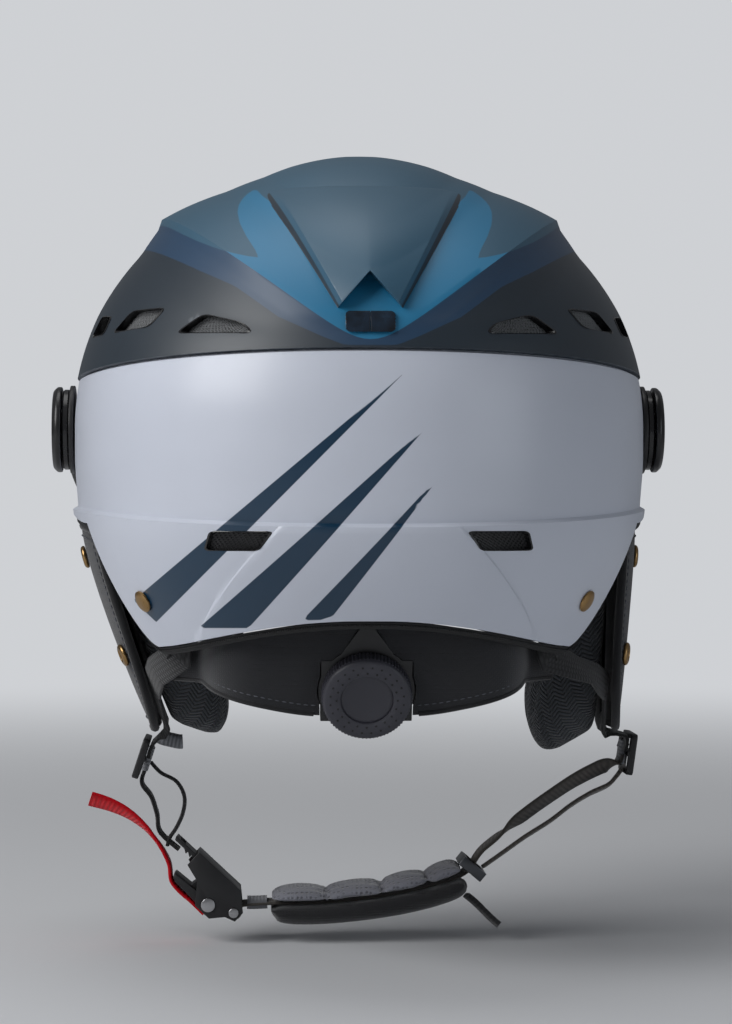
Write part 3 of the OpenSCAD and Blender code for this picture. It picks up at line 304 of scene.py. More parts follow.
# %% [markdown]
# ## Finishes
# The moulded parts are satin plastics with a fine spark-eroded grain and slightly polished edges. The
# metals are brushed brass and steel. Each finish is one function, so that a family of parts shares a
# look while its colour and roughness stay easy to change.

# %% Finish functions
def use(tree, group, **inputs):
    return add(tree, "ShaderNodeGroup", inputs, node_tree=group).outputs

def bump(tree, shader, height, strength, distance):
    made = add(tree, "ShaderNodeBump", {"Strength": strength, "Distance": distance * MM, "Height": height})
    feed(tree, shader, {"Normal": made.outputs[0]})

def cloudy(tree, noise, colour, low, high):
    return mix_colour(tree, noise["Cloud"], tinted(colour, low), tinted(colour, high))

def spread(tree, value, low, high):
    return remap(tree, value, 0.0, 1.0, low, high)

def plastic(name, colour, rough=0.45, grain=1400.0, depth=0.02, edge=2.2, coat=0.0):
    material, tree, shader = new_material(name)
    noise = use(tree, GRAIN, Scale=grain)
    worn = use(tree, WEAR)["Mask"]
    body = cloudy(tree, noise, colour, 0.86, 1.14)
    dull = spread(tree, noise["Cloud"], rough - 0.05, rough + 0.06)
    feed(tree, shader, {
        "Base Color": mix_colour(tree, maths(tree, "MULTIPLY", worn, 0.55), body, tinted(colour, edge)),
        "Roughness": maths(tree, "SUBTRACT", dull, maths(tree, "MULTIPLY", worn, 0.12)),
        "Coat Weight": coat})
    bump(tree, shader, noise["Height"], 0.35, depth)
    return material

def metal(name, colour, rough=0.3, grain=700.0):
    material, tree, shader = new_material(name)
    noise = use(tree, GRAIN, Scale=grain, Broad=60.0)
    feed(tree, shader, {"Base Color": cloudy(tree, noise, colour, 0.8, 1.15),
                        "Roughness": spread(tree, noise["Cloud"], rough - 0.07, rough + 0.12),
                        "Metallic": 1.0})
    bump(tree, shader, noise["Height"], 0.2, 0.01)
    return material

BLACK = plastic("black plastic", rgb(26, 26, 28), 0.42)
SATIN = plastic("satin black", rgb(20, 20, 22), 0.3, coat=0.15)
RUBBER = plastic("rubber", rgb(18, 18, 19), 0.62, grain=900.0, depth=0.06)
PALE = plastic("acetal", rgb(205, 203, 196), 0.4)
STEEL = metal("brushed steel", rgb(190, 190, 192), 0.28)
DARK_STEEL = metal("blackened steel", rgb(92, 94, 98), 0.34)
BRASS = metal("aged brass", rgb(168, 136, 92), 0.3)
print(len(bpy.data.materials), "finishes")

# %% [markdown]
# ## Cloth and webbing
# The pads are covered in knit cloth, and the straps are woven. Both show their yarns up close, so
# they get a small relief. The cloth repeats in space, as its scale is too fine to follow, while the
# webbing follows its own lengths, so that the weave bends with the strap.

# %% Cloth finishes
def fabric(name, colour, scale=520.0, depth=0.25, hole=0.45, sheen=0.25):
    material, tree, shader = new_material(name)
    knit = use(tree, KNIT, Scale=scale, Open=0.42)
    noise = use(tree, GRAIN, Scale=2400.0, Broad=22.0)
    cloth = cloudy(tree, noise, colour, 0.85, 1.2)
    feed(tree, shader, {"Base Color": mix_colour(tree, knit["Mask"], tinted(colour, hole), cloth),
                        "Roughness": spread(tree, noise["Cloud"], 0.82, 0.96),
                        "Sheen Weight": sheen, "Sheen Roughness": 0.5})
    bump(tree, shader, knit["Height"], 0.6, depth)
    return material

def webbing(name, colour, across=0.5, along=3.6, depth=0.3, rough=0.75, sheen=0.2, dark=0.35, shine=0.5):
    material, tree, shader = new_material(name)
    place = add(tree, "ShaderNodeUVMap", uv_map="UVMap").outputs[0]
    yarn = use(tree, WEBBING, Vector=place, Across=across, Along=along)
    cloth = cloudy(tree, use(tree, GRAIN, Scale=2400.0, Broad=40.0), colour, 0.8, 1.25)
    feed(tree, shader, {"Base Color": mix_colour(tree, yarn["Mask"], tinted(colour, dark), cloth),
                        "Roughness": spread(tree, yarn["Mask"], rough + 0.1, rough - 0.08),
                        "Specular IOR Level": shine, "Sheen Weight": sheen})
    bump(tree, shader, yarn["Height"], 0.7, depth)
    return material

PALE_MESH = fabric("pale mesh", rgb(120, 122, 124), 900.0, hole=0.35)
DARK_FABRIC = fabric("dark fabric", rgb(24, 24, 27), 900.0)
BLACK_WEB = webbing("black webbing", rgb(25, 25, 28))
BROWN_WEB = webbing("brown webbing", rgb(92, 86, 80), across=0.0625, along=3.3, depth=0.4)
# Pale grey webbing is laid on black and brown strap pieces as painted highlight for the shine on their
# folds and loops.
HIGHLIGHT_WEB = webbing("webbing with painted highlight", rgb(150, 152, 158), across=0.07, along=4.4, depth=0.4)
print("cloth finishes ready")

# %% [markdown]
# ## The helmet's outer form
# The shells follow one rule: a rounded box plan that shrinks towards the crown like an ellipse, and
# tucks in below. Written with numpy, the rule gives any number of points at once, so the painted
# shells can be much finer than the frame's and still lie exactly on it.

# %% Outer form
HALF_W, FRONT, REAR, TOP, WALL, PLAN_POWER = 110.0, 126.0, 140.0, 105.0, 2.2, 2.2
SPLIT_Z, SPLIT_RISE, BROW_Z, SIDE_Z, CORNER_Z, NAPE_Z = 19.0, 6.0, 6.0, -33.0, -81.0, -70.0
OVERLAP, LOWER_SET, FIT_GAP = 5.0, 0.8, 0.3
EAR_END, CORNER_END = 29, 45
TUCK, TUCK_Z, TUCK_H = 0.14, -30, 46
EAR_SINK, BROW_RUN, FRONT_RUN, EAR_RUN, NAPE_RUN = 3, (25, 55), (20, 46), (10, EAR_END), (42, 88)

def cosd(a):
    return np.cos(np.radians(a))

def sind(a):
    return np.sin(np.radians(a))

def smooth(x, x0, x1):
    t = np.clip((np.asarray(x, float) - x0) / (x1 - x0), 0.0, 1.0)
    return t * t * (3 - 2 * t)

def fold(a):
    return np.where(a > 90, 180 - a, a)

def rounded(a, w, r, n):
    return (np.abs(cosd(a) / w) ** n + np.abs(sind(a) / r) ** n) ** (-1.0 / n)

def polar(r, a, z):
    return np.stack([r * cosd(a), r * sind(a), np.broadcast_to(z, r.shape)], -1)

def edge_z(b):
    back = SPLIT_Z + SPLIT_RISE * sind(b) ** 2
    return np.where(b >= 0, back, SPLIT_Z + (BROW_Z - SPLIT_Z) * smooth(-b, *BROW_RUN))

def low_z(b):
    front = SIDE_Z + (BROW_Z - SIDE_Z) * smooth(-b, *FRONT_RUN)
    ear = SIDE_Z - EAR_SINK * smooth(b, *EAR_RUN)
    t = np.clip((b - EAR_END) / (CORNER_END - EAR_END), 0.0, 1.0)
    corner = SIDE_Z - EAR_SINK + (CORNER_Z - SIDE_Z + EAR_SINK) * sind(t * 90) ** 1.1
    nape = CORNER_Z + (NAPE_Z - CORNER_Z) * smooth(b, *NAPE_RUN)
    return np.where(b < -20, front, np.where(b < EAR_END, ear, np.where(b < CORNER_END, corner, nape)))

def form(a, z, off=0.0):
    dome = np.sqrt(np.clip(1 - (z / (TOP + off)) ** 2, 0, 1))
    tuck = 1 - TUCK * (np.clip(TUCK_Z - z, 0, None) / TUCK_H) ** 1.5
    depth = np.where(sind(a) > 0, REAR, FRONT) + off
    return polar(rounded(a, HALF_W + off, depth, PLAN_POWER) * np.where(z > 0, dome, tuck), a, z)

print("form: rear", round(float(form(90.0, 0.0)[1]), 1), "side", round(float(form(0.0, 0.0)[0]), 1), "mm")

# %% [markdown]
# ## The V crest
# A fold runs as a wide V over the back. How far it stands off the form is a table over the height
# above the V. It fades towards the front, the middle of the back and the lower edge.

# %% Crest
V_LOW, V_SLOPE, V_ROUND = 18.4, 0.85, 11
FRONT_FADE, MIDDLE_FADE, MIDDLE_LOSS, EDGE_FADE = (-35, 15), (65, 90), 0.6, (OVERLAP - 1, 13)
CREST_D = [-60, -25, -8, 0, 10, 25, 40, 55, 75]
CREST_H = [0, -1, 0.9, 3, 1.2, -1.8, -2.2, -1.1, 0]

def crest_line(x):
    return V_LOW + V_SLOPE * np.sqrt(x * x + V_ROUND ** 2)

def above_crest(a, z):
    return z - crest_line(form(a, z)[..., 0])

def crest(a, z):
    b = fold(a)
    high = np.interp(above_crest(a, z), CREST_D, CREST_H)
    along = smooth(b, *FRONT_FADE) * (1 - MIDDLE_LOSS * smooth(b, *MIDDLE_FADE))
    return high * along * smooth(z - edge_z(b), *EDGE_FADE)

def skin(a, z, off=0.0):
    return form(a, z, off + crest(a, z))

print("the V's lowest point is at", round(float(crest_line(0.0)), 1), "mm")

# %% [markdown]
# ## Turning grids of points into closed walls
# Most mouldings are a wall between two grids. One builder joins an outer and an inner grid at their
# rims. Another measures the enclosed volume and turns the faces round when it is negative, so that
# the normals always point out of the material.

# %% Grid builders
def quads(rows, n, wrap, first=0):
    j, i = np.meshgrid(np.arange(rows - 1), np.arange(n if wrap else n - 1), indexing="ij")
    a, b = first + j * n + i, first + j * n + (i + 1) % n
    return np.stack([a, b, b + n, a + n], -1).reshape(-1, 4)

def wall(outer, inner, wrap=False, domed=None):
    rows, n = outer.shape[:2]
    m, last = rows * n, (rows - 1) * n
    i = np.arange(n if wrap else n - 1)
    k = (i + 1) % n
    faces = [quads(rows, n, wrap), quads(rows, n, wrap, m)[:, ::-1], np.stack([k, i, m + i, m + k], -1)]
    points, caps = [outer.reshape(-1, 3), inner.reshape(-1, 3)], []
    if domed:
        tips = np.stack([outer[-1].mean(0), inner[-1].mean(0)])
        tips[:, 2] = domed
        points.append(tips)
        caps += [(last + p, last + q, 2 * m) for p, q in zip(i, k)]
        caps += [(m + last + q, m + last + p, 2 * m + 1) for p, q in zip(i, k)]
    else:
        faces.append(np.stack([last + i, last + k, m + last + k, m + last + i], -1))
    if not wrap:
        j = np.arange(rows - 1) * n
        e = j + n - 1
        faces.append(np.stack([j, j + n, m + j + n, m + j], -1))
        faces.append(np.stack([e + n, e, m + e, m + e + n], -1))
    return np.concatenate(points), np.concatenate(faces).tolist() + caps

def tube(rings, closed=False):
    rings = np.asarray(rings)
    rows, n = rings.shape[:2]
    faces, last = quads(rows, n, True).tolist(), (rows - 1) * n
    if closed:
        faces += [(last + i, last + (i + 1) % n, (i + 1) % n, i) for i in range(n)]
    else:
        faces += [tuple(range(n))[::-1], tuple(last + i for i in range(n))]
    return rings.reshape(-1, 3), faces

def outward(shape):
    points, faces = np.asarray(shape[0], float), shape[1]
    volume = 0.0
    for face in faces:
        p = points[list(face)]
        volume += p[0] @ np.cross(p[1:-1], p[2:]).sum(0)
    return points, [tuple(f)[::-1] for f in faces] if volume < 0 else faces

print("grid builders ready")

# %% [markdown]
# ## From points to finished objects
# A shape becomes an object with a material, then gets a fine bevel and smooth shading that breaks at
# sharp corners. Last it is handed over to the frame: it rides on a body and stands for the nodes that
# it replaces.

# %% Object builders
def raw(name, shape, material=None):
    points, faces = outward(shape)
    obj = link(bpy.data.objects.new(name, plain_mesh(name, points * MM, faces)))
    if material:
        obj.data.materials.append(material)
    return obj

def apply_all(obj):
    graph = bpy.context.evaluated_depsgraph_get()
    made = bpy.data.meshes.new_from_object(obj.evaluated_get(graph), preserve_all_data_layers=True,
                                           depsgraph=graph)
    obj.modifiers.clear()
    old, obj.data = obj.data, made
    made.name = obj.name
    bpy.data.meshes.remove(old)

def hand_over(obj, body, replaces):
    if body:
        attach(obj, body)
    if replaces:
        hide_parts(*replaces)

def finish(obj, body="helmet", replaces=(), slot=None, sharp=38.0, bevel=0.0, steps=2):
    if bevel:
        edge = obj.modifiers.new("edges", "BEVEL")
        edge.width, edge.segments = bevel * MM, steps
        edge.limit_method, edge.angle_limit = "ANGLE", math.radians(sharp)
        apply_all(obj)
    obj.data.polygons.foreach_set("use_smooth", [True] * len(obj.data.polygons))
    obj.data.set_sharp_from_angle(angle=math.radians(sharp + 2))
    hand_over(obj, body, replaces)
    return obj

def solid(name, shape, material, **look):
    return finish(raw(name, shape, material), **look)

print("object builders ready")

# %% [markdown]
# ## Paint for the shells
# The upper shell carries four paints: a sky blue above the crest, a darker band under it, a deep
# petrol around the vents and grey wings. Each zone is a number stored on the vertices, the distance
# to its outline in millimetres, and the shader turns it into a crisp edge. Numbers that belong to the
# mesh stay in place from every side, and the edge is as sharp as the renderer allows.

# %% Paint materials
ZONE_SOFT, EDGE_WEAR = 0.12, rgb(176, 182, 190)

def zone(tree, name):
    made = add(tree, "ShaderNodeAttribute", attribute_name=name, attribute_type="GEOMETRY")
    return remap(tree, made.outputs["Fac"], -ZONE_SOFT, ZONE_SOFT)

def paint(name, base, zones, rough=0.48, coat_rough=0.46, shine=0.65):
    material, tree, shader = new_material(name)
    noise = use(tree, GRAIN, Scale=260.0, Broad=7.0)
    worn = use(tree, WEAR, Start=0.56, Soft=0.1)["Mask"]
    colour = cloudy(tree, noise, base, 0.93, 1.07)
    for attribute, zone_colour in zones:
        tone = cloudy(tree, noise, zone_colour, 0.9, 1.1)
        colour = mix_colour(tree, zone(tree, attribute), colour, tone)
    colour = mix_colour(tree, maths(tree, "MULTIPLY", worn, 0.35), colour, EDGE_WEAR)
    feed(tree, shader, {"Base Color": colour,
                        "Roughness": spread(tree, noise["Cloud"], rough - 0.04, rough + 0.06),
                        "Coat Weight": 0.5, "Coat Roughness": coat_rough, "Specular IOR Level": shine})
    bump(tree, shader, noise["Height"], 0.12, 0.03)
    return material

SKY, WING, BAND, DEEP = rgb(0, 112, 154), rgb(40, 84, 108), rgb(8, 54, 86), rgb(8, 30, 44)
WHITE, PETROL = rgb(205, 210, 222), rgb(12, 50, 75)
UPPER_ZONES = [("band_zone", BAND), ("sky_zone", SKY), ("wing_zone", WING)]
UPPER_PAINT = paint("upper shell paint", DEEP, UPPER_ZONES)
# The panel's side slopes take the deep petrol as painted shade, a dark wedge for the shadow of the raised
# steps.
PANEL_PAINT = paint("panel paint", WING, [("painted_shade_zone", DEEP)])
REAR_PAINT = paint("rear shell paint", WHITE, [("streak_zone", PETROL)], rough=0.4, coat_rough=0.28,
                   shine=0.35)

print("paints ready")

# %% [markdown]
# ## Marks on the vertices
# A zone's number is an attribute of the mesh. It is stored point by point, and for an outline it is
# the distance to the nearest side, positive inside. A texture painted by hand would do the same, but
# it would need UVs and its edge would blur up close.

# %% Marks on the vertices
def mark(obj, name, values):
    made = obj.data.attributes.new(name, "FLOAT", "POINT")
    made.data.foreach_set("value", np.asarray(values, np.float32))

def vertices_mm(obj):
    flat = np.zeros(len(obj.data.vertices) * 3, np.float32)
    obj.data.vertices.foreach_get("co", flat)
    return flat.reshape(-1, 3).astype(float) / MM

def poly_distance(x, z, outline):
    area = sum(p[0] * q[1] - q[0] * p[1] for p, q in zip(outline, outline[1:] + outline[:1]))
    pts = outline if area > 0 else outline[::-1]
    near, within = np.full(np.shape(x), 1e9), np.zeros(np.shape(x), bool)
    for (px, pz), (qx, qz) in zip(pts, pts[1:] + pts[:1]):
        dx, dz = qx - px, qz - pz
        t = np.clip(((x - px) * dx + (z - pz) * dz) / (dx * dx + dz * dz), 0, 1)
        near = np.minimum(near, np.hypot(x - px - t * dx, z - pz - t * dz))
        within ^= ((pz > z) != (qz > z)) & (x < dx * (z - pz) / (dz if dz else 1e-9) + px)
    return np.where(within, near, -near)

SQUARE = [(-1, -1), (1, -1), (1, 1), (-1, 1)]
print("the middle of a square of 2 lies", float(poly_distance(0.0, 0.0, SQUARE)), "inside")

# %% [markdown]
# ## Upper shell
# On the real helmet this is one thin moulding with a wide V crest across the back. A grid of columns
# round the head and rows up to the crown makes it. One row is laid exactly along the crest, so the
# fold stays crisp.

# %% Rows of the upper shell
VENTS = [[(21.4, 33.2), (32.4, 33.2), (33.4, 40.2), (24.4, 41.2)],
         [(37.3, 33.2), (50.4, 34.2), (53.4, 41.2), (42.4, 41.2)],
         [(57.4, 31.2), (72.4, 30.2), (70.4, 34.2), (62.4, 38.2)]]
REAR_VENTS = [[(64.0, -45.5), (73.5, -45.5), (76.0, -38.5), (65.5, -38.5)]]
BAND_X = [0, 9, 16.7, 32, 47, 59.5, 78, 110]
BAND_Z = [25.7, 25.7, 28.8, 36, 47.5, 54, 64.8, 84]
WING_OUTLINE = [(-1.0, 80.8), (34.3, 80.8), (37.3, 84.0), (39.8, 88.0), (42.2, 86.2), (44.6, 83.4),
                (45.9, 80.2), (46.3, 77.0), (45.4, 72.0), (43.0, 66.4), (40.4, 61.8), (37.5, 57.6),
                (42.2, 58.3), (46.9, 59.5), (51.1, 60.9), (55.1, 62.7), (60.8, 65.7), (66.2, 69.2),
                (74.5, 75.6), (95.0, 90.0), (95.0, 112.0), (-1.0, 112.0)]

def azimuth_of(p):
    a = np.degrees(np.arctan2(p[:, 1], p[:, 0]))
    return np.where(a < -90, a + 360, a)

def crest_height(a):
    low, high = np.zeros(np.shape(a)), np.full(np.shape(a), 104.0)
    for _ in range(40):
        mid = (low + high) / 2
        over = above_crest(a, mid) > 0
        low, high = np.where(over, low, mid), np.where(over, mid, high)
    return (low + high) / 2

def upper_rows(a):
    edge = edge_z(fold(a))
    crease = np.maximum(crest_height(a), edge + 8)
    te, tc = np.degrees(np.arcsin(edge / TOP)), np.degrees(np.arcsin(crease / TOP))
    below = np.concatenate([[0, 0.012], np.linspace(0.05, 1, 24)])
    over = np.linspace(0, 0.985, 40)[1:]
    theta = [te + (tc - te) * k for k in below] + [tc + (90 - tc) * k for k in over]
    return TOP * sind(np.array(theta))

print("crest at the back:", round(float(crest_height(np.array([90.0]))[0]), 1), "mm")

# %% [markdown]
# ## Cutting the vents
# Each vent is cut by a rounded wedge that follows its outline through the wall, as a tool would punch
# it. An exact boolean is slower than the fast one, but it keeps the fine grid clean. The zones are
# marked after the cut, as a cut adds points of its own.

# %% Upper shell with its vents
def soft_corners(corners, radius, steps=5):
    pts = [np.array(c, float) for c in corners]
    out = []
    for k, p in enumerate(pts):
        before, after = pts[k - 1] - p, pts[(k + 1) % len(pts)] - p
        a, b = (p + leg * min(0.45, radius / np.hypot(*leg)) for leg in (before, after))
        out += [(1 - t) ** 2 * a + 2 * t * (1 - t) * p + t * t * b for t in np.linspace(0, 1, steps)]
    return np.array(out)

def facing(q, side):
    return (q[:, 0] if side > 0 else 180 - q[:, 0]), q[:, 1]

def vent_wedges(vents, radius):
    rings = [form(*facing(soft_corners(v, radius), s)) for v in vents for s, _ in SIDES]
    return [tube([ring * [k, k, 1] for k in (0.9, 1.08)]) for ring in rings]

def carve(obj, shapes):
    cutters = [raw("cutter", shape) for shape in shapes]
    for cutter in cutters:
        cut = obj.modifiers.new("cut", "BOOLEAN")
        cut.operation, cut.solver, cut.object = "DIFFERENCE", "EXACT", cutter
    apply_all(obj)
    for cutter in cutters:
        bpy.data.objects.remove(cutter)

def upper_shell():
    a = np.linspace(-90, 270, 360, endpoint=False)
    z = upper_rows(a)
    grid = np.broadcast_to(a, z.shape)
    inner = skin(grid, z * (TOP - WALL) / TOP, -WALL)
    obj = raw("shell_upper", wall(skin(grid, z), inner, wrap=True, domed=(TOP, TOP - WALL)), UPPER_PAINT)
    carve(obj, vent_wedges(VENTS, 2.0))
    p = vertices_mm(obj)
    out, height = np.abs(p[:, 0]), p[:, 2]
    mark(obj, "sky_zone", above_crest(azimuth_of(p), height))
    mark(obj, "band_zone", height - np.interp(out, BAND_X, BAND_Z))
    mark(obj, "wing_zone", poly_distance(out, height, WING_OUTLINE))
    return finish(obj, replaces=["upper_shell"], slot="blue_paint", sharp=28.0)

print("upper shell:", len(upper_shell().data.polygons), "faces")

# %% [markdown]
# ## Raised centre panel
# A separate panel widens from a notched lower end and melts into the crown. Its sides stand up from
# the shell as sharp steps, so it is its own thick sheet over the shell with a small bevel that
# catches the light, and a soft ridge runs up its middle. The outer parts of its side slopes are
# painted deep petrol as painted shade for the shadow beside the steps.

# %% Centre panel
PANEL_HALF, PANEL_FLARE, PANEL_Z, PANEL_H, NOTCH_H = 11.3, 27.5, 38.8, 48.7, 13.1
BRINK, FOOT, PANEL_PROUD, RIDGE = 0.86, 0.99, 4.2, 3.2

def back_y(x, z, off=0.0):
    k = np.sqrt(np.clip(1 - (z / (TOP + off)) ** 2, 1e-6, 1))
    inner = np.clip(1 - (np.abs(x) / ((HALF_W + off) * k)) ** PLAN_POWER, 0, 1)
    return (REAR + off) * k * inner ** (1 / PLAN_POWER)

def panel_point(u, t, off):
    x = u * (PANEL_HALF + PANEL_FLARE * t)
    z = PANEL_Z + PANEL_H * t + NOTCH_H * (1 - np.abs(u)) * (1 - t) ** 2
    lift = crest(np.degrees(np.arctan2(back_y(x, z), x)), z)
    return np.stack([x, back_y(x, z, off + lift), z], -1)

def centre_panel():
    half = np.concatenate([np.linspace(0, BRINK - 0.02, 27), [BRINK, BRINK + 0.015],
                           np.linspace(BRINK + 0.04, FOOT, 5), [1.0]])
    t, u = np.meshgrid(np.linspace(0, 1, 60), np.concatenate([half[::-1], -half[1:]]), indexing="ij")
    side = np.clip((np.abs(u) - BRINK) / (FOOT - BRINK), 0, 1)
    ridge = PANEL_PROUD + RIDGE * (1 - np.abs(u / BRINK).clip(0, 1) ** 1.7)
    proud = (1 - t ** 3.5) ** 1.4 * ridge * (1 - 0.93 * side) - 0.12 * t - 0.5 * smooth(t, 0.98, 1.0)
    obj = solid("shell_centre_panel", wall(panel_point(u, t, proud), panel_point(u, t, -1.2)), PANEL_PAINT,
                slot="blue_paint", sharp=26.0, bevel=0.35)
    p = vertices_mm(obj)
    border = (BRINK + FOOT) / 2 * (PANEL_HALF + PANEL_FLARE * (p[:, 2] - PANEL_Z) / PANEL_H)
    # Painted shade: the outer part of each side slope is marked for the deep petrol.
    mark(obj, "painted_shade_zone", np.abs(p[:, 0]) - border)
    return obj

print("centre panel:", len(centre_panel().data.polygons), "faces")

# %% [markdown]
# ## Rear shell
# The pale rear shell has a ledge all round and a raised trapezoid in the middle of its lower half.
# Rows are placed on both sides of the ledge and columns are slanted along the trapezoid's sides, so
# that every fold has edges of its own instead of being smeared over a coarse grid.

# %% Rear shell
LEDGE_Z, FIELD_EDGE, FIELD_LEAN, FIELD_H = -36.4, 77.5, 17.5, 38
WAIST, LEDGE_STEP, FIELD_STEP = 1.4, 2.0, 0.9
STREAKS = [[(84, -64), (75.6, -71.7), (-11.7, 16.3)], [(60, -73.1), (42.2, -72.7), (-21.3, -0.2)],
           [(23.5, -69.7), (13.8, -69.4), (-25.5, -17.4)]]

def ledge_height(b):
    return LEDGE_Z + 4.6 * (HALF_W * cosd(b) / 92) ** 2

def rear_off(b, z):
    ledge = ledge_height(b)
    base = -LOWER_SET - WAIST * smooth(-z, 10, 35) + LEDGE_STEP * smooth(ledge + 0.5 - z, 0, 1.3)
    inside = smooth(b - (FIELD_EDGE - FIELD_LEAN * (ledge - z) / FIELD_H), -0.4, 0.4)
    under = smooth(z - edge_z(b) + 1.3, 0, 0.7)
    raised = FIELD_STEP * inside * smooth(ledge - z, 0.2, 1.4)
    return (base + raised) * (1 - under) + (-WALL - FIT_GAP) * under

def rear_shell():
    half = np.concatenate([np.linspace(-40, 44, 96), np.linspace(44.9, 76.9, 40), [77.1, 77.5, 77.9],
                           np.linspace(78.5, 90, 14)])
    a = np.concatenate([half, 180 - half[-2::-1]])
    b = fold(a)
    edge, low, ledge = edge_z(b), low_z(b), ledge_height(b)
    lean = np.interp(b, [44, FIELD_EDGE, 90], [0, 1, 0]) * -FIELD_LEAN
    slanted = lambda z: b + lean * np.clip((ledge - z) / FIELD_H, 0, 1)
    for _ in range(12):
        low = low_z(slanted(low))
    rows = [low, low + 0.5] + [low + (ledge - 1.2 - low) * k for k in np.linspace(0.06, 0.97, 26)]
    rows += [ledge + step for step in (-0.8, -0.3, 0.1, 0.5)]
    rows += [ledge + 1 + (edge - 2.6 - ledge) * k for k in np.linspace(0, 1, 30)]
    z = np.array(rows + [edge + step for step in (-1.3, -0.9, -0.6, 2, OVERLAP)])
    for j in range(1, len(z)):
        z[j] = np.maximum(z[j], np.maximum(low + 0.05 * j, z[j - 1] + 0.02))
    grid = slanted(z)
    off, around = rear_off(grid, z), np.where(a > 90, 180 - grid, grid)
    shape = wall(form(around, z, off), form(around, z, np.minimum(off, 1.0) - WALL))
    obj = raw("shell_rear", shape, REAR_PAINT)
    carve(obj, vent_wedges(REAR_VENTS, 1.3))
    p = vertices_mm(obj)
    best = np.max([poly_distance(p[:, 0], p[:, 2], streak) for streak in STREAKS], 0)
    mark(obj, "streak_zone", np.where(p[:, 1] > 0, best, -9.0))
    return finish(obj, replaces=["lower_shell"], slot="white_paint", sharp=24.0)

print("rear shell:", len(rear_shell().data.polygons), "faces")

# %% [markdown]
# ## Geometry Nodes for what repeats
# Grilles, studs, stitches and ribs repeat one small shape. Each is a node tree with named sizes: the
# first turns every edge of a mesh into a round wire, the second sets a small shape on every point,
# turned by a stored direction, and the third lays stitches along lines. The result is made a plain
# mesh, so nothing is left to compute.

# %% Repeating recipes
def recipe(name, **knobs):
    tree = bpy.data.node_groups.new(name, "GeometryNodeTree")
    for socket, kind in {"Geometry": "Geometry", **knobs, "Material": "Material"}.items():
        tree.interface.new_socket(socket, in_out="INPUT", socket_type="NodeSocket" + kind)
    tree.interface.new_socket("Geometry", in_out="OUTPUT", socket_type="NodeSocketGeometry")
    return tree, tree.nodes.new("NodeGroupInput").outputs

def step(tree, kind, inputs, **settings):
    return add(tree, "GeometryNode" + kind, inputs, **settings).outputs[0]

def close_recipe(tree, geometry, knobs):
    real = step(tree, "RealizeInstances", {0: geometry})
    painted = step(tree, "SetMaterial", {"Geometry": real, "Material": knobs["Material"]})
    feed(tree, tree.nodes.new("NodeGroupOutput"), {"Geometry": painted})
    return tree

def wires_recipe():
    tree, knobs = recipe("Wires from edges", Radius="Float", Sides="Int")
    line = step(tree, "MeshToCurve", {"Mesh": knobs["Geometry"]})
    ring = step(tree, "CurvePrimitiveCircle", {"Resolution": knobs["Sides"], "Radius": knobs["Radius"]})
    wire = step(tree, "CurveToMesh", {"Curve": line, "Profile Curve": ring, "Fill Caps": True})
    return close_recipe(tree, wire, knobs)

WIRES = wires_recipe()
print("recipe:", WIRES.name)

# %% [markdown]
# ## Studs and stitches
# Both place copies of a small shape. A stud stands along the direction that its point stores, and a
# stitch lies along its line at an even spacing.

# %% Studs and stitches
def studs_recipe():
    tree, knobs = recipe("Studs on points", Radius="Float", Height="Float", Sides="Int", Top="Float")
    top = maths(tree, "MULTIPLY", knobs["Radius"], knobs["Top"])
    base = step(tree, "MeshCone", {"Vertices": knobs["Sides"], "Radius Top": top,
                                   "Radius Bottom": knobs["Radius"], "Depth": knobs["Height"]})
    aim = step(tree, "InputNamedAttribute", {"Name": "aim"}, data_type="FLOAT_VECTOR")
    turned_to = add(tree, "FunctionNodeAlignRotationToVector", {"Vector": aim}, axis="Z").outputs[0]
    put = step(tree, "InstanceOnPoints", {"Points": knobs["Geometry"], "Instance": base,
                                          "Rotation": turned_to})
    return close_recipe(tree, put, knobs)

def stitch_recipe():
    tree, knobs = recipe("Stitches on lines", Spacing="Float", Length="Float", Radius="Float")
    line = step(tree, "MeshToCurve", {"Mesh": knobs["Geometry"]})
    cuts = {"Curve": line, "Length": knobs["Spacing"]}
    points = add(tree, "GeometryNodeCurveToPoints", cuts, mode="LENGTH")
    thread = step(tree, "MeshIcoSphere", {"Radius": 1.0, "Subdivisions": 1})
    size = {0: knobs["Radius"], 1: knobs["Radius"], 2: knobs["Length"]}
    along = {"Vector": points.outputs["Tangent"]}
    put = step(tree, "InstanceOnPoints", {
        "Points": points.outputs[0], "Instance": thread,
        "Rotation": add(tree, "FunctionNodeAlignRotationToVector", along, axis="Z").outputs[0],
        "Scale": add(tree, "ShaderNodeCombineXYZ", size).outputs[0]})
    return close_recipe(tree, put, knobs)

STUDS, STITCHES = studs_recipe(), stitch_recipe()
print("recipes:", STUDS.name, "/", STITCHES.name)

# %% [markdown]
# ## Growing an object from a recipe
# A light mesh of points or lines carries the recipe as a modifier. Its sizes are set by their names,
# and then the modifier is applied.

# %% Growing an object
def grow(name, points, edges, tree, material, aims=None, **values):
    mesh = bpy.data.meshes.new(name)
    mesh.from_pydata([tuple(np.asarray(p, float) * MM) for p in points], list(edges), [])
    obj = link(bpy.data.objects.new(name, mesh))
    if aims is not None:
        made = mesh.attributes.new("aim", "FLOAT_VECTOR", "POINT")
        made.data.foreach_set("vector", np.asarray(aims, np.float32).ravel())
    node = obj.modifiers.new("grow", "NODES")
    node.node_group = tree
    values["Material"] = material
    for item in tree.interface.items_tree:
        if item.in_out == "INPUT" and item.name in values:
            node[item.identifier] = values[item.name]
    apply_all(obj)
    return obj

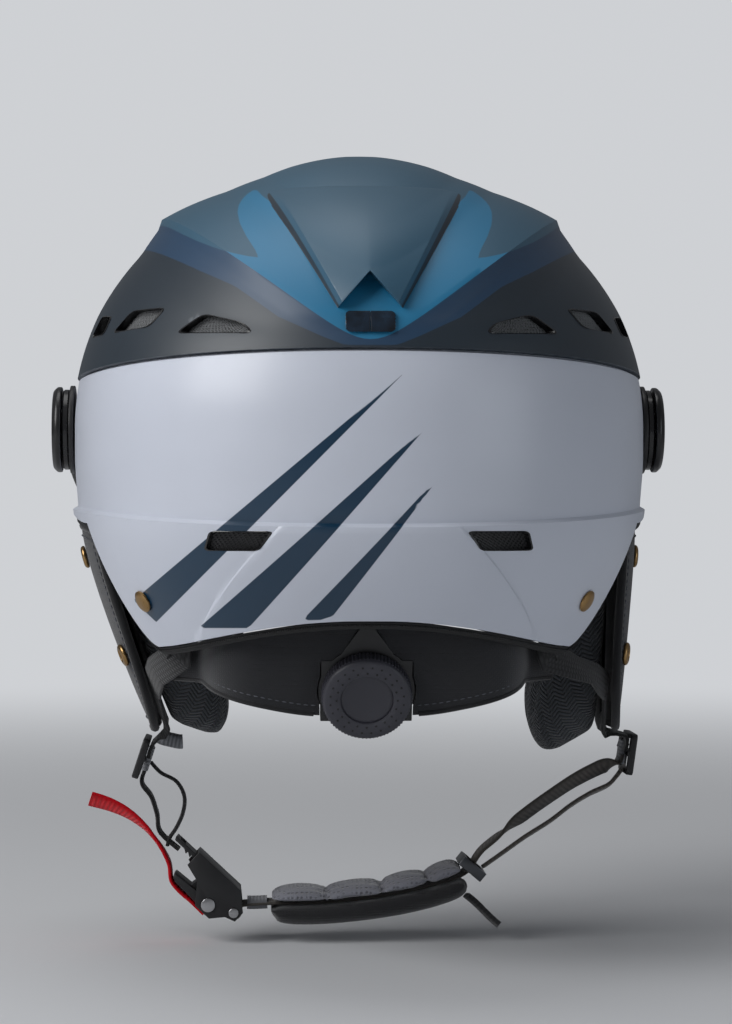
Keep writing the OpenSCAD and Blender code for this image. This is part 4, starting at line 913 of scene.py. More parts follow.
def chain(lines):
    points, edges = [], []
    for line in lines:
        edges += [(len(points) + i, len(points) + i + 1) for i in range(len(line) - 1)]
        points += [tuple(p) for p in line]
    return points, edges

print("growing ready")

# %% [markdown]
# ## Vents
# Each vent has a dark moulded rim that lines the hole, and a mesh set deep inside it. The rim is a
# short tube that follows the outline of the hole.

# %% Vent rims
def joined(shapes):
    points, faces = np.zeros((0, 3)), []
    for p, f in map(outward, shapes):
        faces += [tuple(i + len(points) for i in face) for face in f]
        points = np.concatenate([points, p])
    return points, faces

def vent_rim(corners, side, deep, radius, surface):
    ring = soft_corners(corners, radius)
    middle = ring.mean(0)
    rows = []
    for shrink, off in ((1.0, 0.15), (0.93, 0.3), (0.9, -0.6), (0.86, -deep), (1.0, -deep)):
        rows.append(surface(*facing(middle + (ring - middle) * shrink, side), off))
    return tube(rows, closed=True)

def all_rims(name, vents, deep, radius, surface):
    rims = [vent_rim(corners, side, deep, radius, surface) for corners in vents for side, _ in SIDES]
    solid(name, joined(rims), SATIN, slot="black_plastic", sharp=45.0)

def rear_skin(a, z, off):
    return form(a, z, off + rear_off(fold(a), z))

all_rims("vent_rims_upper", VENTS, 3.1, 2.0, skin)
all_rims("vent_rims_rear", REAR_VENTS, 2.0, 1.3, rear_skin)
print("vent rims ready")

# %% [markdown]
# ## Vent nets
# The mesh in a vent is a diagonal net of lines over the curved patch, which the wire recipe thickens.
# That is far lighter than modelling holes in a plate.

# %% Vent nets
NET_PITCH = 1.5

def net_lines(corners, side, off, pitch, surface, share):
    c = np.array(corners, float)
    c = c.mean(0) + (c - c.mean(0)) * share
    at = lambda u, v: (c[0] * (1 - u) + c[1] * u) * (1 - v) + (c[3] * (1 - u) + c[2] * u) * v
    wide, tall = np.hypot(*((c[1] - c[0]) * (2.0, 1.0))), abs(c[3][1] - c[0][1])
    lines = []
    for lean in (1, -1):
        for k in np.arange(-tall, wide + tall, pitch):
            marks = [((k + lean * (v - 0.5) * tall) / wide, v) for v in np.linspace(0, 1, 5)]
            q = np.array([at(u, v) for u, v in marks if 0 <= u <= 1])
            if len(q) > 1:
                lines.append(surface(*facing(q, side), off))
    return lines

def nets(name, vents, off, radius, surface, material, slot, share):
    lines = [line for corners in vents for side, _ in SIDES
             for line in net_lines(corners, side, off, NET_PITCH, surface, share)]
    finish(grow(name, *chain(lines), WIRES, material, Radius=radius * MM, Sides=5), slot=slot)

nets("vent_nets_upper", VENTS, -3.3, 0.22, skin, PALE_MESH, "pale_mesh", 0.92)
nets("vent_nets_rear", REAR_VENTS, -1.6, 0.24, rear_skin, BLACK, "black_plastic", 0.98)
print("vent nets ready")

# %% [markdown]
# ## Foam liner
# The liner is bead foam, moulded with grooves. Its outer face hides under the shells, so only the
# inner bowl and the rim are seen. A fine wall with soft longitudinal channels replaces the faceted
# solid, and its finish shows the beads.

# %% Foam liner
FOAM = plastic("foam beads", rgb(36, 36, 38), 0.7, grain=320.0, depth=0.35, edge=1.3)
ROOM_TOP, LINER_GAP, POLE = 77.9, 2 * WALL + 2 * FIT_GAP, 88.6
FOAM_BACK, FOAM_FRONT, FOAM_SIDE, CHANNEL_DEPTH, RIM_ROUND = 25, 20, 19, 1.6, 2.2

def room(a, z, off=0.0):
    depth = np.where(sind(a) > 0, REAR - FOAM_BACK, FRONT - FOAM_FRONT) - LINER_GAP - off
    dome = np.sqrt(np.clip(1 - (z / (ROOM_TOP - off)) ** 2, 0, 1))
    k = np.where(z > 0, dome, 1 - 0.1 * (z / 70) ** 2)
    return polar(rounded(a, HALF_W - LINER_GAP - FOAM_SIDE - off, depth, 2.0) * k, a, z)

def liner():
    a = np.linspace(-90, 270, 216, endpoint=False)
    b = fold(a)
    bottom = np.maximum(low_z(b), np.where(b < -40, edge_z(b), low_z(b))) + 1.2
    t = np.linspace(0, 1, 46)[:, None]
    tb = np.degrees(np.arcsin(np.clip(bottom / ROOM_TOP, -0.98, 1)))
    deep = np.where(t < 0.4, bottom * (1 - t / 0.4), ROOM_TOP * sind((t - 0.4) / 0.6 * POLE))
    zi = np.where(bottom < 0, deep, ROOM_TOP * sind(tb + (POLE - tb) * t))
    zo = np.maximum(np.where(zi > 0, zi * (TOP - WALL - 0.9) / ROOM_TOP, zi), bottom)
    grid = np.broadcast_to(a, zi.shape)
    ends = smooth(zi, 30, 45) * (1 - smooth(zi, 68, 74))
    channels = -CHANNEL_DEPTH * np.abs(cosd(grid * 4)) ** 10 * ends
    flush = crest(grid, zo).clip(None, 0) - WALL - 1.4
    flush = np.where(zo > edge_z(b) + OVERLAP, flush, -LINER_GAP - 0.8)
    rim = RIM_ROUND * (1 - smooth(zi - bottom, 0, 4))
    shape = wall(form(grid, zo, flush - rim), room(grid, zi, channels - rim), wrap=True,
                 domed=(TOP - WALL - 1.6, ROOM_TOP))
    return solid("liner_foam", shape, FOAM, replaces=["impact_liner"], slot="foam", sharp=50.0)

print("liner:", len(liner().data.polygons), "faces")

# %% [markdown]
# ## Easing the edges of moulded parts
# No moulded edge is perfectly sharp: a small round catches a line of light and makes the part look
# real. A copy of the frame's mesh is welded, its flat triangles are merged, and a bevel is laid on
# every corner. The copy then stands for the frame's part.

# %% Eased mouldings
EASED = [
    (BLACK, "black_plastic", 2, {
        "buckle_body": 0.45, "buckle_lever": 0.5, "buckle_ladder": 0.12, "strap_divider_left": 0.5,
        "strap_divider_right": 0.5, "dial_housing": 0.35, "pivot_base_left": 0.3, "pivot_base_right": 0.3,
        "rack_arm_left": 0.2, "rack_arm_right": 0.2}),
    (SATIN, "black_plastic", 3, {"pivot_cap_left": 0.5, "pivot_cap_right": 0.5, "visor_tab": 0.5}),
    (STEEL, "steel", 2, {"buckle_pins": 0.25, "pivot_screws": 0.25}),
    (DARK_STEEL, "steel", 2, {"strap_keeper": 0.25}),
    (STEEL, "steel", 2, {"lens_screws": 0.25, "buckle_spring": 0.25}),
    (PALE, "pale_plastic", 2, {"dial_pinion": 0.25}),
]

def eased(node, material, slot, width, steps):
    source = frame["nodes"][node]
    work = bmesh.new()
    work.from_mesh(source.data)
    bmesh.ops.remove_doubles(work, verts=work.verts, dist=2e-6)
    bmesh.ops.dissolve_limit(work, angle_limit=math.radians(0.8), verts=work.verts, edges=work.edges)
    mesh = bpy.data.meshes.new(node + "_eased")
    work.to_mesh(mesh)
    work.free()
    mesh.materials.clear()
    mesh.materials.append(material)
    obj = link(bpy.data.objects.new(mesh.name, mesh))
    finish(obj, source["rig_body"], [node], slot, sharp=32.0, bevel=width, steps=steps)

for material, slot, steps, widths in EASED:
    for node, width in widths.items():
        eased(node, material, slot, width, steps)
print(sum(len(row[3]) for row in EASED), "eased parts ready")

# %% [markdown]
# ## Webbing
# Webbing is a flat weave with rounded selvedges. Each strap is swept along a smooth line with an oval
# section, and carries its own lengths across and along as UV, so the weave follows every bend. It is
# modelled directly, because a remesh would eat something so thin.

# %% Strap builder
def catmull(points, k):
    p = np.asarray(points, float)
    out = []
    for i in range(len(p) - 1):
        a, b, c, d = p[max(0, i - 1)], p[i], p[i + 1], p[min(len(p) - 1, i + 2)]
        bend, twist = 2 * a - 5 * b + 4 * c - d, 3 * b - a - 3 * c + d
        out += [b + (c - a) * t / 2 + bend * t * t / 2 + twist * t ** 3 / 2 for t in np.arange(k) / k]
    return np.array(out + [p[-1]])

def unit(v):
    v = np.asarray(v, float)
    return v / np.linalg.norm(v, axis=-1, keepdims=True)

def turn(count):
    return np.arange(count) / count * 2 * math.pi

def oval(value, power):
    return np.sign(value) * np.abs(value) ** power

def lay_uv(obj, across, along):
    uv = np.stack(np.broadcast_arrays(across[None, :], along[:, None]), -1).reshape(-1, 2)
    corners = np.zeros(len(obj.data.loops), np.int32)
    obj.data.loops.foreach_get("vertex_index", corners)
    layer = obj.data.uv_layers.new(name="UVMap")
    layer.data.foreach_set("uv", uv[corners].astype(np.float32).ravel())

def strap(name, path, width, thick, sides=(0, 1, 0), material=BLACK_WEB, body="helmet", replaces=(),
          slot="black_webbing", k=4, parts=18):
    sides = np.broadcast_to(np.asarray(sides, float), np.shape(path))
    line, across = catmull(path, k), catmull(sides, k)
    ahead = unit(np.gradient(line, axis=0))
    across = unit(across - (across * ahead).sum(-1, keepdims=True) * ahead)
    out, t = np.cross(ahead, across), turn(parts)
    x, y = oval(np.cos(t), 0.45) * width / 2, oval(np.sin(t), 0.75) * thick / 2
    rings = line[:, None] + across[:, None] * x[None, :, None] + out[:, None] * y[None, :, None]
    obj = raw(name, tube(rings), material)
    run = np.concatenate([[0], np.cumsum(np.linalg.norm(np.diff(line, axis=0), axis=1))])
    lay_uv(obj, x + width / 2, run)
    return finish(obj, body, replaces, slot, sharp=58.0)

print("strap builder ready")

# %% [markdown]
# ## Ear covers and their straps
# The ear covers hang from the rim of the rear shell. A front and a rear branch of webbing run inside
# each cover and meet at a divider below it. The same rule that shapes the cover gives the lines of
# the straps, so that they stay between the cover and the ear pad.

# %% Rule of the ear covers
FLAP_TOP, FLAP_X, FLAP_H, FLAP_T, FLAP_HALF, STRAP_ROOM = SIDE_Z - 3.4, HALF_W - 2.6, 79.0, 2.6, 39, 6.4
FLAP_LEAN = {1: 27.0, -1: 6.0}
DIVIDER_AT = {1: np.array([84.0, -6.0, -127.0]), -1: np.array([-106.0, -6.0, -126.0])}
DIVIDER_TURN = {1: -18.0, -1: -8.0}
DIVIDER_H, DIVIDER_T, WEB_W, WEB_T, BRANCH_W = 16.0, 2.6, 16.0, 1.6, 12.0
STRAP_OFF = -FLAP_T - STRAP_ROOM / 2 - 0.3
TOP_V = (FLAP_TOP - SIDE_Z - 0.1) / FLAP_H
FRONT_UV = [(-0.72, TOP_V), (-0.6, 0.3), (-0.5, 0.6), (-0.42, 0.84), (-0.4, 0.97)]
REAR_UV = [(0.84, 0.78), (0.74, 0.87), (0.6, 0.97)]

def flap_half(v):
    return FLAP_HALF * np.sqrt(np.clip(1 - (np.abs(v) * 0.96) ** 3.2, 0, 1))

def flap_pt(s, u, v, off):
    u, v, off = np.broadcast_arrays(np.asarray(u, float), np.asarray(v, float), np.asarray(off, float))
    bowed = FLAP_LEAN[s] * np.clip(v, 0, None) ** 1.25 + 7 * (flap_half(v) / FLAP_HALF * u) ** 2
    z = FLAP_TOP - v * FLAP_H - 2.4 * (1 - v) * np.clip(u, 0, None) ** 2
    return np.stack([s * (FLAP_X - bowed + off), 2 - 7 * v + u * flap_half(v), z], -1)

def bar_seat(s, z, y):
    t, out = math.radians(DIVIDER_TURN[s]), -s * (DIVIDER_T / 2 + WEB_T / 2 + 0.55)
    return DIVIDER_AT[s] + [out * math.cos(t) + z * math.sin(t), y, z * math.cos(t) - out * math.sin(t)]

print("the covers reach down to", FLAP_TOP - FLAP_H, "mm")

# %% [markdown]
# ## Side straps
# A branch follows the cover from its anchor to the divider. The rear one starts at the corner of the
# shell, behind the cover, so a few points lead it in and it turns as it comes.

# %% Side straps
def branch(s, uv, y, turned_by=0.0, lead=([], [])):
    u, v = catmull(uv, 3).T
    across = unit(flap_pt(s, u + 0.02, v, 0) - flap_pt(s, u - 0.02, v, 0))
    down = unit(flap_pt(s, u, v + 0.02, 0) - flap_pt(s, u, v - 0.02, 0))
    t = np.radians(turned_by * np.linspace(1, 0, len(u)))[:, None]
    seat = [[flap_pt(s, 0, 1, STRAP_OFF)[0] + s * 0.8, y - 6, FLAP_TOP - FLAP_H - 1.9],
            bar_seat(s, DIVIDER_H / 2 - 1.4, y), bar_seat(s, 1, y)]
    path = [*lead[0], *flap_pt(s, u, v, STRAP_OFF), *seat]
    return np.array(path), np.array([*lead[1], *(across * np.cos(t) + down * np.sin(t)), *[[0, 1, 0]] * 3])

def rear_lead(s):
    top = form(45.0, CORNER_Z - 0.8, -10.0) * [s, 1, 1]
    first = flap_pt(s, *REAR_UV[0], STRAP_OFF)
    return ([top, top - [0, 0, 3], top * 0.55 + first * 0.45 + [s * 4, 0, -2]],
            [[-s * 0.7, 0.7, 0], [-s * 0.7, 0.7, 0], [-s * 0.3, 0.8, 0]])

for s, side in SIDES:
    runs = {"front": branch(s, FRONT_UV, -7), "rear": branch(s, REAR_UV, 7, 40, rear_lead(s))}
    for part, (path, sides) in runs.items():
        strap(f"web_{part}_{side}", path, BRANCH_W, WEB_T, sides, replaces=[f"strap_{part}_{side}"], k=2)
print("side straps ready")

# %% [markdown]
# ## Chin strap, pull tab and lower strap
# The lower straps hang in a long curve under the chin. The left one carries the toothed ladder that
# slides into the buckle, and it rides on no body. The red tab that lifts the lever is a ribbed
# ribbon that twists as it goes.

# %% Hanging straps
RED_WEB = webbing("red webbing", rgb(226, 2, 26), across=0.077, along=3.4, depth=0.5, rough=0.5, sheen=0.0,
                  dark=0.6, shine=0.15)
DIP = math.radians(43.0)
BUCKLE_AT = DIVIDER_AT[1] + [-26.5, -9.0, -52.0]
LADDER_END, LADDER_LEN, LADDER_W, LADDER_T, TOOTH_H = 3.0, 26.0, 13.4, 1.6, 1.0
BUCKLE_FLOOR_Z, BUCKLE_FLOOR_T, PIN_R, PIN_AIR, WEB_PIN = -7.8, 1.4, 1.5, 0.35, (12.9, 0, 0.5)
LAP_Z = BUCKLE_FLOOR_Z + BUCKLE_FLOOR_T + FIT_GAP + LADDER_T + TOOTH_H + WEB_T / 2 + FIT_GAP

def from_buckle(x, y, z):
    return BUCKLE_AT + [-math.cos(DIP) * x + math.sin(DIP) * z, y, -math.sin(DIP) * x - math.cos(DIP) * z]

def hang(share, y, over):
    x, _, z = BUCKLE_AT + (DIVIDER_AT[-1] - BUCKLE_AT) * share
    return np.array([x, BUCKLE_AT[1] + y, z + over])

def hung(*table):
    return [hang(*row) for row in table]

CHIN_LINE = hung((0.144, 0, -13.6), (0.278, 0, -20.2), (0.413, 0, -24.9), (0.523, 0, -27.0),
                 (0.609, 0.5, -26.8))
FREE_LINE = hung((0.651, 0.5, -20.5), (0.706, 2, -15.9), (0.761, 4, -11.3), (0.823, 5.5, -7.2),
                 (0.878, 7, -4.2))
TAIL_TOP = list(DIVIDER_AT[-1] + [[2.0, 1.0, -5.5], [4.6, 0.0, -9.4]])
TAIL_LINE = hung((0.951, 8, -10.4), (0.908, 7, -11.6), (0.865, 5.5, -13.8), (0.814, 4, -17.6),
                 (0.755, 2.5, -20.8), (0.703, 1, -24.3), (0.657, 0, -27.3))
LAP_LINE = hung((0.088, 0, -10.9), (0.1, 0, -11.6), (0.118, 0, -12.5), (0.136, 0, -13.3))
END_TAB = CHIN_LINE[4] + [[-1.1, -0.5, -9.3], [-4.6, -0.5, -12.2], [-11, 0, -18.5], [-14, 0.5, -21]]
TAB_FREE = BUCKLE_AT + [[15.3, 0, 3], [16.1, 0.4, 9], [18.9, 1, 15], [22.5, 1.6, 20], [26.5, 2.2, 24.5],
                        [32.5, 3, 29.2], [39.5, 3.6, 32.7], [46.9, 4, 35]]
FOLD_LINE = DIVIDER_AT[1] + [[-3.4, -5.5, -3.0], [-7.2, -5.8, -7.0], [-13.2, -6.0, -10.4],
                             [-16.3, -6.2, -16.2], [-15.8, -6.6, -22.6], [-13.2, -7.4, -28.6],
                             [-10.6, -8.6, -32.6], [-9.8, -9.0, -35.2]]
STUB_LINE = DIVIDER_AT[1] + [[-6.6, -6.0, 7.4], [-8.2, -6.0, 6.6], [-11.4, -6.0, 5.8], [-14.2, -6.0, 5.2],
                             [-15.6, -6.0, 5.2]]

print("strap lines:", len(CHIN_LINE) + len(FREE_LINE) + len(TAIL_LINE), "points under the chin")

# %% [markdown]
# ## Straps along the lines
# Each strap is swept along its line and rides on one body, but the lower strap and the fold beside it
# ride on none.

# %% Straps along the lines
def chin_strap():
    pin, r = from_buckle(*WEB_PIN), PIN_R + PIN_AIR + WEB_T / 2
    loop = [pin + [r * cosd(t), 0, r * sind(t)] for t in range(-150, 121, 30)]
    rest = [hang(0.095, 0, -11.4)] + CHIN_LINE + FREE_LINE
    rest += [bar_seat(-1, -7.5, 0) + [6.5, 0, 1.5], bar_seat(-1, -4.5, 0) + [1.2, 0, 0]]
    rest += [bar_seat(-1, -1, 0)]
    path = np.concatenate([loop, catmull(rest, 4)])
    k = np.linspace(0, 1, len(path))
    lean = 0.5 * smooth(k, 0.585, 0.66) * (1 - smooth(k, 0.87, 0.95))
    sides = np.stack([0 * k, 0 * k + 1, lean], -1)
    strap("web_chin", path, WEB_W, WEB_T, sides, BROWN_WEB, replaces=["chin_strap"],
          slot="brown_webbing", k=3)

def bend_to_ladder(obj):
    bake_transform(obj)

def lower_strap():
    seats = [bar_seat(1, -1, 0), bar_seat(1, -5, 0), bar_seat(1, -DIVIDER_H / 2 - 2, 0) - [0.6, 0, 0]]
    down = [DIVIDER_AT[1] + [-3.5, -2.5, -16], DIVIDER_AT[1] + [-5.6, -6, -23]]
    lap = [from_buckle(LADDER_END - LADDER_LEN + x, 0, LAP_Z) for x in (-6, 4)]
    obj = strap("web_lower_left", catmull(seats + down + lap, 4), LADDER_W - 3.4, WEB_T, body=None,
                replaces=["strap_lower_left"], k=3)
    bend_to_ladder(obj)

def pull_tab():
    root = [from_buckle(*p) for p in ((5, 0, 9.2), (-2, 0, 9), (-8, 0, 9.2))]
    path = catmull(root + list(TAB_FREE), 3)
    q = 30 * smooth(np.linspace(0, 1, len(path)), 0.35, 1)
    strap("pull_ribbon", path, 13.0, 1.7, np.stack([0 * q, cosd(q), sind(q)], -1), RED_WEB, body="lever",
          replaces=["red_pull_tab"], slot="red_webbing")

chin_strap()
lower_strap()
fold_left = strap("web_fold_left", FOLD_LINE, 9.4, 1.5, (0, 1, 0.1), body=None, k=5)
bend_to_ladder(fold_left)
# Painted highlight: the stub beside the left divider is black webbing coloured pale grey for its shine.
strap("web_stub_left", STUB_LINE, 11.0, 5.4, material=HIGHLIGHT_WEB, k=6)
pull_tab()
# Painted highlight: the lap by the buckle is brown webbing coloured pale grey for the shine on its loop.
strap("web_lap", LAP_LINE, 14.5, 4.4, material=HIGHLIGHT_WEB, slot="brown_webbing", k=6)
strap("web_tail", TAIL_TOP + TAIL_LINE, WEB_W - 2, WEB_T, (0, 1, 0.2), BROWN_WEB, replaces=["strap_tail"],
      slot="brown_webbing", k=9)
strap("web_end_tab", END_TAB, 11.0, 2.3, (0, 1, 0.2), replaces=["strap_end_tab"], k=6)
# Painted highlight: the wraps on the divider bars are black webbing coloured pale grey for their shine.
for s, side in SIDES:
    strap("web_wrap_" + side, [bar_seat(s, z, 0) for z in (4.6, 2.5, 0, -2.5, -4.6)], WEB_W - 3, 2.5,
          material=HIGHLIGHT_WEB, k=3)
print("hanging straps ready")

# %% [markdown]
# ## Padded pieces
# A pad starts as a lean closed form in the room that the frame gives it. The cloth solver blows it up
# gently, as its filling does, while the seams are held. How far a point may move is capped, so the
# pad stays clear of its neighbours.

# %% Blowing up
PRESSURE, LAST_FRAME = 4.0, 20

def vertex_normals(obj):
    flat = np.zeros(len(obj.data.vertices) * 3, np.float32)
    obj.data.vertex_normals.foreach_get("vector", flat)
    return flat.reshape(-1, 3)

def set_vertices_mm(obj, points):
    obj.data.vertices.foreach_set("co", (points * MM).astype(np.float32).ravel())

def blow_up(obj, seam, cap):
    rest = vertices_mm(obj)
    group = obj.vertex_groups.new(name="seams")
    for index, weight in enumerate(np.clip(seam(rest), 0, 1)):
        if weight > 0.02:
            group.add([index], float(weight), "REPLACE")
    cloth = obj.modifiers.new("cloth", "CLOTH")
    cloth.settings.quality, cloth.settings.use_pressure = 4, True
    cloth.settings.uniform_pressure_force = PRESSURE
    cloth.settings.effector_weights.gravity = 0.0
    cloth.settings.vertex_group_mass = "seams"
    cloth.point_cache.frame_end = LAST_FRAME + 1
    for f in range(1, LAST_FRAME + 1):
        bpy.context.scene.frame_set(f)
    blown = vertices_mm(obj.evaluated_get(bpy.context.evaluated_depsgraph_get()))
    obj.modifiers.clear()
    obj.vertex_groups.clear()
    bpy.context.scene.frame_set(1)
    far = np.linalg.norm(blown - rest, axis=1, keepdims=True)
    set_vertices_mm(obj, rest + (blown - rest) * np.minimum(1, cap / np.maximum(far, 1e-6)))
    print(obj.name, "moved up to", round(float(far.max()), 2), "mm before the cap")

print("cloth runs for", LAST_FRAME, "frames")

# %% [markdown]
# ## The pad builder
# A voxel remesh evens the faces before the cloth solver runs, because long thin faces crease badly.
# Afterwards the seams are pressed in a little and the piece rides on the helmet in place of its node.

# %% Pad builder
def padded(name, shape, seam, node, material=DARK_FABRIC, cap=1.2, voxel=2.6,
           dent=0.5):
    obj = raw(name, shape, material)
    even = obj.modifiers.new("even", "REMESH")
    even.mode, even.voxel_size = "VOXEL", voxel * MM
    apply_all(obj)
    blow_up(obj, seam, cap)
    soft = obj.modifiers.new("soft", "SUBSURF")
    soft.levels = soft.render_levels = 1
    apply_all(obj)
    p = vertices_mm(obj)
    set_vertices_mm(obj, p - vertex_normals(obj) * (dent * np.clip(seam(p), 0, 1))[:, None])
    obj.data.update()
    obj.data.polygons.foreach_set("use_smooth", [True] * len(obj.data.polygons))
    hand_over(obj, "helmet", [node])
    return obj

def line_seam(value, at, width):
    return np.max([np.exp(-((value - k) / width) ** 2) for k in at], 0)

def puff(x, power):
    return np.sqrt(np.clip(1 - np.abs(x) ** power, 0, 1))

print("pad builder ready")

# %% [markdown]
# ## Comfort pads inside the bowl
# A brow pad, a crown pad and two side pads line the foam. They are flat cushions with sewn channels,
# bent to the bowl. Each is drawn as a thickness over the bowl's own surface, then blown up.

# %% Comfort pads
PAD_GAP, PAD_EDGE, PAD_SWELL = 1.4, 1.2, 4.8

def span(v, u):
    return np.meshgrid(np.linspace(*v), np.linspace(*u), indexing="ij")

def bowl_pad(a0, a1, z0, z1, across, up):
    v, u = span((-1, 1, up), (-1, 1, across))
    body = PAD_EDGE + PAD_SWELL * puff(u, 4) * puff(v, 3)
    a = (a0 + a1) / 2 + (a1 - a0) / 2 * u * (1 - 0.05 * (1 - v * v))
    z = (z0 + z1) / 2 + (z1 - z0) / 2 * v * (1 - 0.06 * (1 - u * u))
    return wall(room(a, z, PAD_GAP), room(a, z, PAD_GAP + body))

def crown_shape():
    a = np.linspace(0, 360, 60, endpoint=False)
    k = np.array([0.805, 0.82, 0.85, 0.89, 0.93, 0.96, 0.985])[:, None]
    q = 1 - (1 - k) * (1 - 0.08 * cosd(2 * a) ** 2)
    grid = np.broadcast_to(a, q.shape)
    at = lambda extra: room(grid, ROOM_TOP * q - PAD_GAP - extra * q, PAD_GAP + extra)
    lift = 0.9 + 5.2 * np.sqrt(smooth(k, 0.79, 0.87))
    return wall(at(0 * k), at(lift), wrap=True, domed=(ROOM_TOP - PAD_GAP, ROOM_TOP - 7.6))

def brow_seam(p):
    return line_seam(np.degrees(np.arctan2(p[:, 1], p[:, 0])), (-122, -106, -90, -74, -58), 1.6)

def side_seam(p):
    return line_seam(p[:, 1], (11, 12), 1.4)

def crown_seam(p):
    return np.maximum(line_seam(p[:, 0], (-18, 18), 1.5), line_seam(p[:, 1], (-20, 22), 1.5))

side_points, side_faces = bowl_pad(-19, 33, -21, 21, 40, 26)
padded("pad_brow", bowl_pad(-137, -43, BROW_Z + 5, BROW_Z + 29, 64, 20), brow_seam, "brow_pad")
side_pair = [(side_points * [s, 1, 1], side_faces) for s, _ in SIDES]
padded("pad_sides", joined(side_pair), side_seam, "side_pads")
padded("pad_crown", crown_shape(), crown_seam, "crown_pad")
print("comfort pads ready")

# %% [markdown]
# ## Ear covers
# An ear cover is a thin stiffened cloth shell with a bound edge and a line of stitches inside it. The
# shell is a wall over the cover's rule, the binding is a tube along its outline, and the stitches are
# laid on a line set in from the edge.

# %% Ear covers
COVER_CLOTH = fabric("cover cloth", rgb(30, 31, 35), 1300.0, 0.15, hole=0.6)
BINDING = fabric("binding tape", rgb(20, 20, 23), 1700.0, 0.12, hole=0.6)
THREAD = plastic("thread", rgb(70, 72, 78), 0.6)

def cover_outline(s, inset, off):
    v = np.concatenate([np.linspace(0.0, 1.0, 26), [1.0] * 7, np.linspace(1.0, 0.0, 26), [0.0] * 9])
    u = np.concatenate([np.ones(26), np.linspace(0.75, -0.75, 7), -np.ones(26), np.linspace(-0.8, 0.8, 9)])
    return flap_pt(s, u * (1 - inset), 0.5 + (v - 0.5) * (1 - inset), off)

def hoop(line, radius, sides=8):
    ahead = unit(np.roll(line, -1, 0) - np.roll(line, 1, 0))
    out = unit(np.cross(ahead, [1.0, 0.0, 0.0]))
    t = turn(sides)[None, :, None]
    ring = out[:, None] * np.cos(t) + np.cross(out, ahead)[:, None] * np.sin(t)
    return tube(line[:, None] + radius * ring, closed=True)

def stitched(name, lines, radius):
    sizes = {"Spacing": 2.6 * MM, "Length": 0.95 * MM, "Radius": radius * MM}
    finish(grow(name, *chain(lines), STITCHES, THREAD, **sizes), slot="dark_fabric")

def ear_cover(s, side):
    v, u = span((0, 1, 44), (-1, 1, 44))
    w = 2 * v - 1
    outer = flap_pt(s, u, v, 0.5 * (1 - u ** 6) * (1 - w ** 6) - 0.5)
    shape = wall(outer, flap_pt(s, u, v, -FLAP_T - 0.6 * (1 - w * w) * (1 - u * u)))
    solid("ear_shell_" + side, shape, COVER_CLOTH, replaces=["ear_cover_" + side], slot="dark_fabric",
          sharp=50.0)
    bound = hoop(cover_outline(s, 0.015, -1.3), 1.75)
    solid("ear_binding_" + side, bound, BINDING, slot="dark_fabric", sharp=80.0)
    line = cover_outline(s, 0.11, 0.05)
    stitched("ear_stitches_" + side, [np.concatenate([line, line[:1]])], 0.27)

for s, side in SIDES:
    ear_cover(s, side)
print("ear covers ready")

# %% [markdown]
# ## Ear pads
# The pads that press on the ears are thick and covered in open mesh. They are blown up like the other
# pads, with a dimple in the middle for the ear and a seam round the edge. Their inner face hangs
# lower than the frame's solid, as far as the photo shows.

# %% Ear pads
def spacer_mesh():
    material, tree, shader = new_material("ear spacer mesh")
    x, y, z = add(tree, "ShaderNodeSeparateXYZ", {0: object_place(tree)}).outputs
    out = maths(tree, "ABSOLUTE", x)
    zigzag = maths(tree, "PINGPONG", maths(tree, "ADD", out, y), 0.0042)
    slope = maths(tree, "MULTIPLY", maths(tree, "SUBTRACT", out, y), 0.6)
    rows = maths(tree, "ADD", maths(tree, "SUBTRACT", z, slope), maths(tree, "MULTIPLY", zigzag, 0.8))
    rib = maths(tree, "ABSOLUTE", maths(tree, "SINE", maths(tree, "MULTIPLY", rows, math.pi / 0.0021)))
    knit = use(tree, KNIT, Scale=760.0, Open=0.42)
    ribbed = mix_colour(tree, remap(tree, rib, 0.15, 0.8), rgb(9, 10, 12), rgb(50, 54, 60))
    feed(tree, shader, {"Base Color": ribbed, "Roughness": spread(tree, knit["Mask"], 0.9, 0.7),
                        "Sheen Weight": 0.2})
    bump(tree, shader, maths(tree, "ADD", rib, maths(tree, "MULTIPLY", knit["Height"], 0.35)), 0.8, 0.7)
    return material

EAR_MESH = spacer_mesh()
EAR_TOP, EAR_SHARE, EAR_EDGE, EAR_FULL, EAR_MORE = 0.24, 0.78, 2.2, 11.4, 15
EAR_LOW, EAR_DROP = {1: 0.96, -1: 1.0}, {1: 10, -1: 15}

def ear_rim(p):
    v = (FLAP_TOP - p[:, 2]) / FLAP_H
    across = np.abs(p[:, 1] - (2 - 7 * v)) / (EAR_SHARE * flap_half(v) + 0.01)
    return 0.75 * np.exp(-((across - 0.72) / 0.06) ** 2)

def ear_pad(s, side):
    w, u = span((-1, 1, 30), (-1, 1, 30))
    v = EAR_TOP + (EAR_LOW[s] - EAR_TOP) * (w + 1) / 2
    dimple = 1 - 0.14 * np.clip(1 - (u * u + w * w) * 4, 0, None) ** 2
    full = EAR_FULL + EAR_MORE * smooth(w, -0.6, 0.5)
    depth = EAR_EDGE + full * puff(u, 3.5) * puff(w, 4) * dimple
    back = -FLAP_T - STRAP_ROOM - 0.5
    outer, inner = flap_pt(s, u * EAR_SHARE, v, back), flap_pt(s, u * EAR_SHARE, v, back - depth)
    inner[..., 2] -= EAR_DROP[s] * smooth(w, 0.1, 1.0) * np.clip(depth / 20, 0, 1)
    padded("ear_cushion_" + side, wall(outer, inner), ear_rim, "ear_pad_" + side, EAR_MESH, cap=1.4,
           voxel=3.0, dent=0.9)

for s, side in SIDES:
    ear_pad(s, side)
print("ear pads ready")

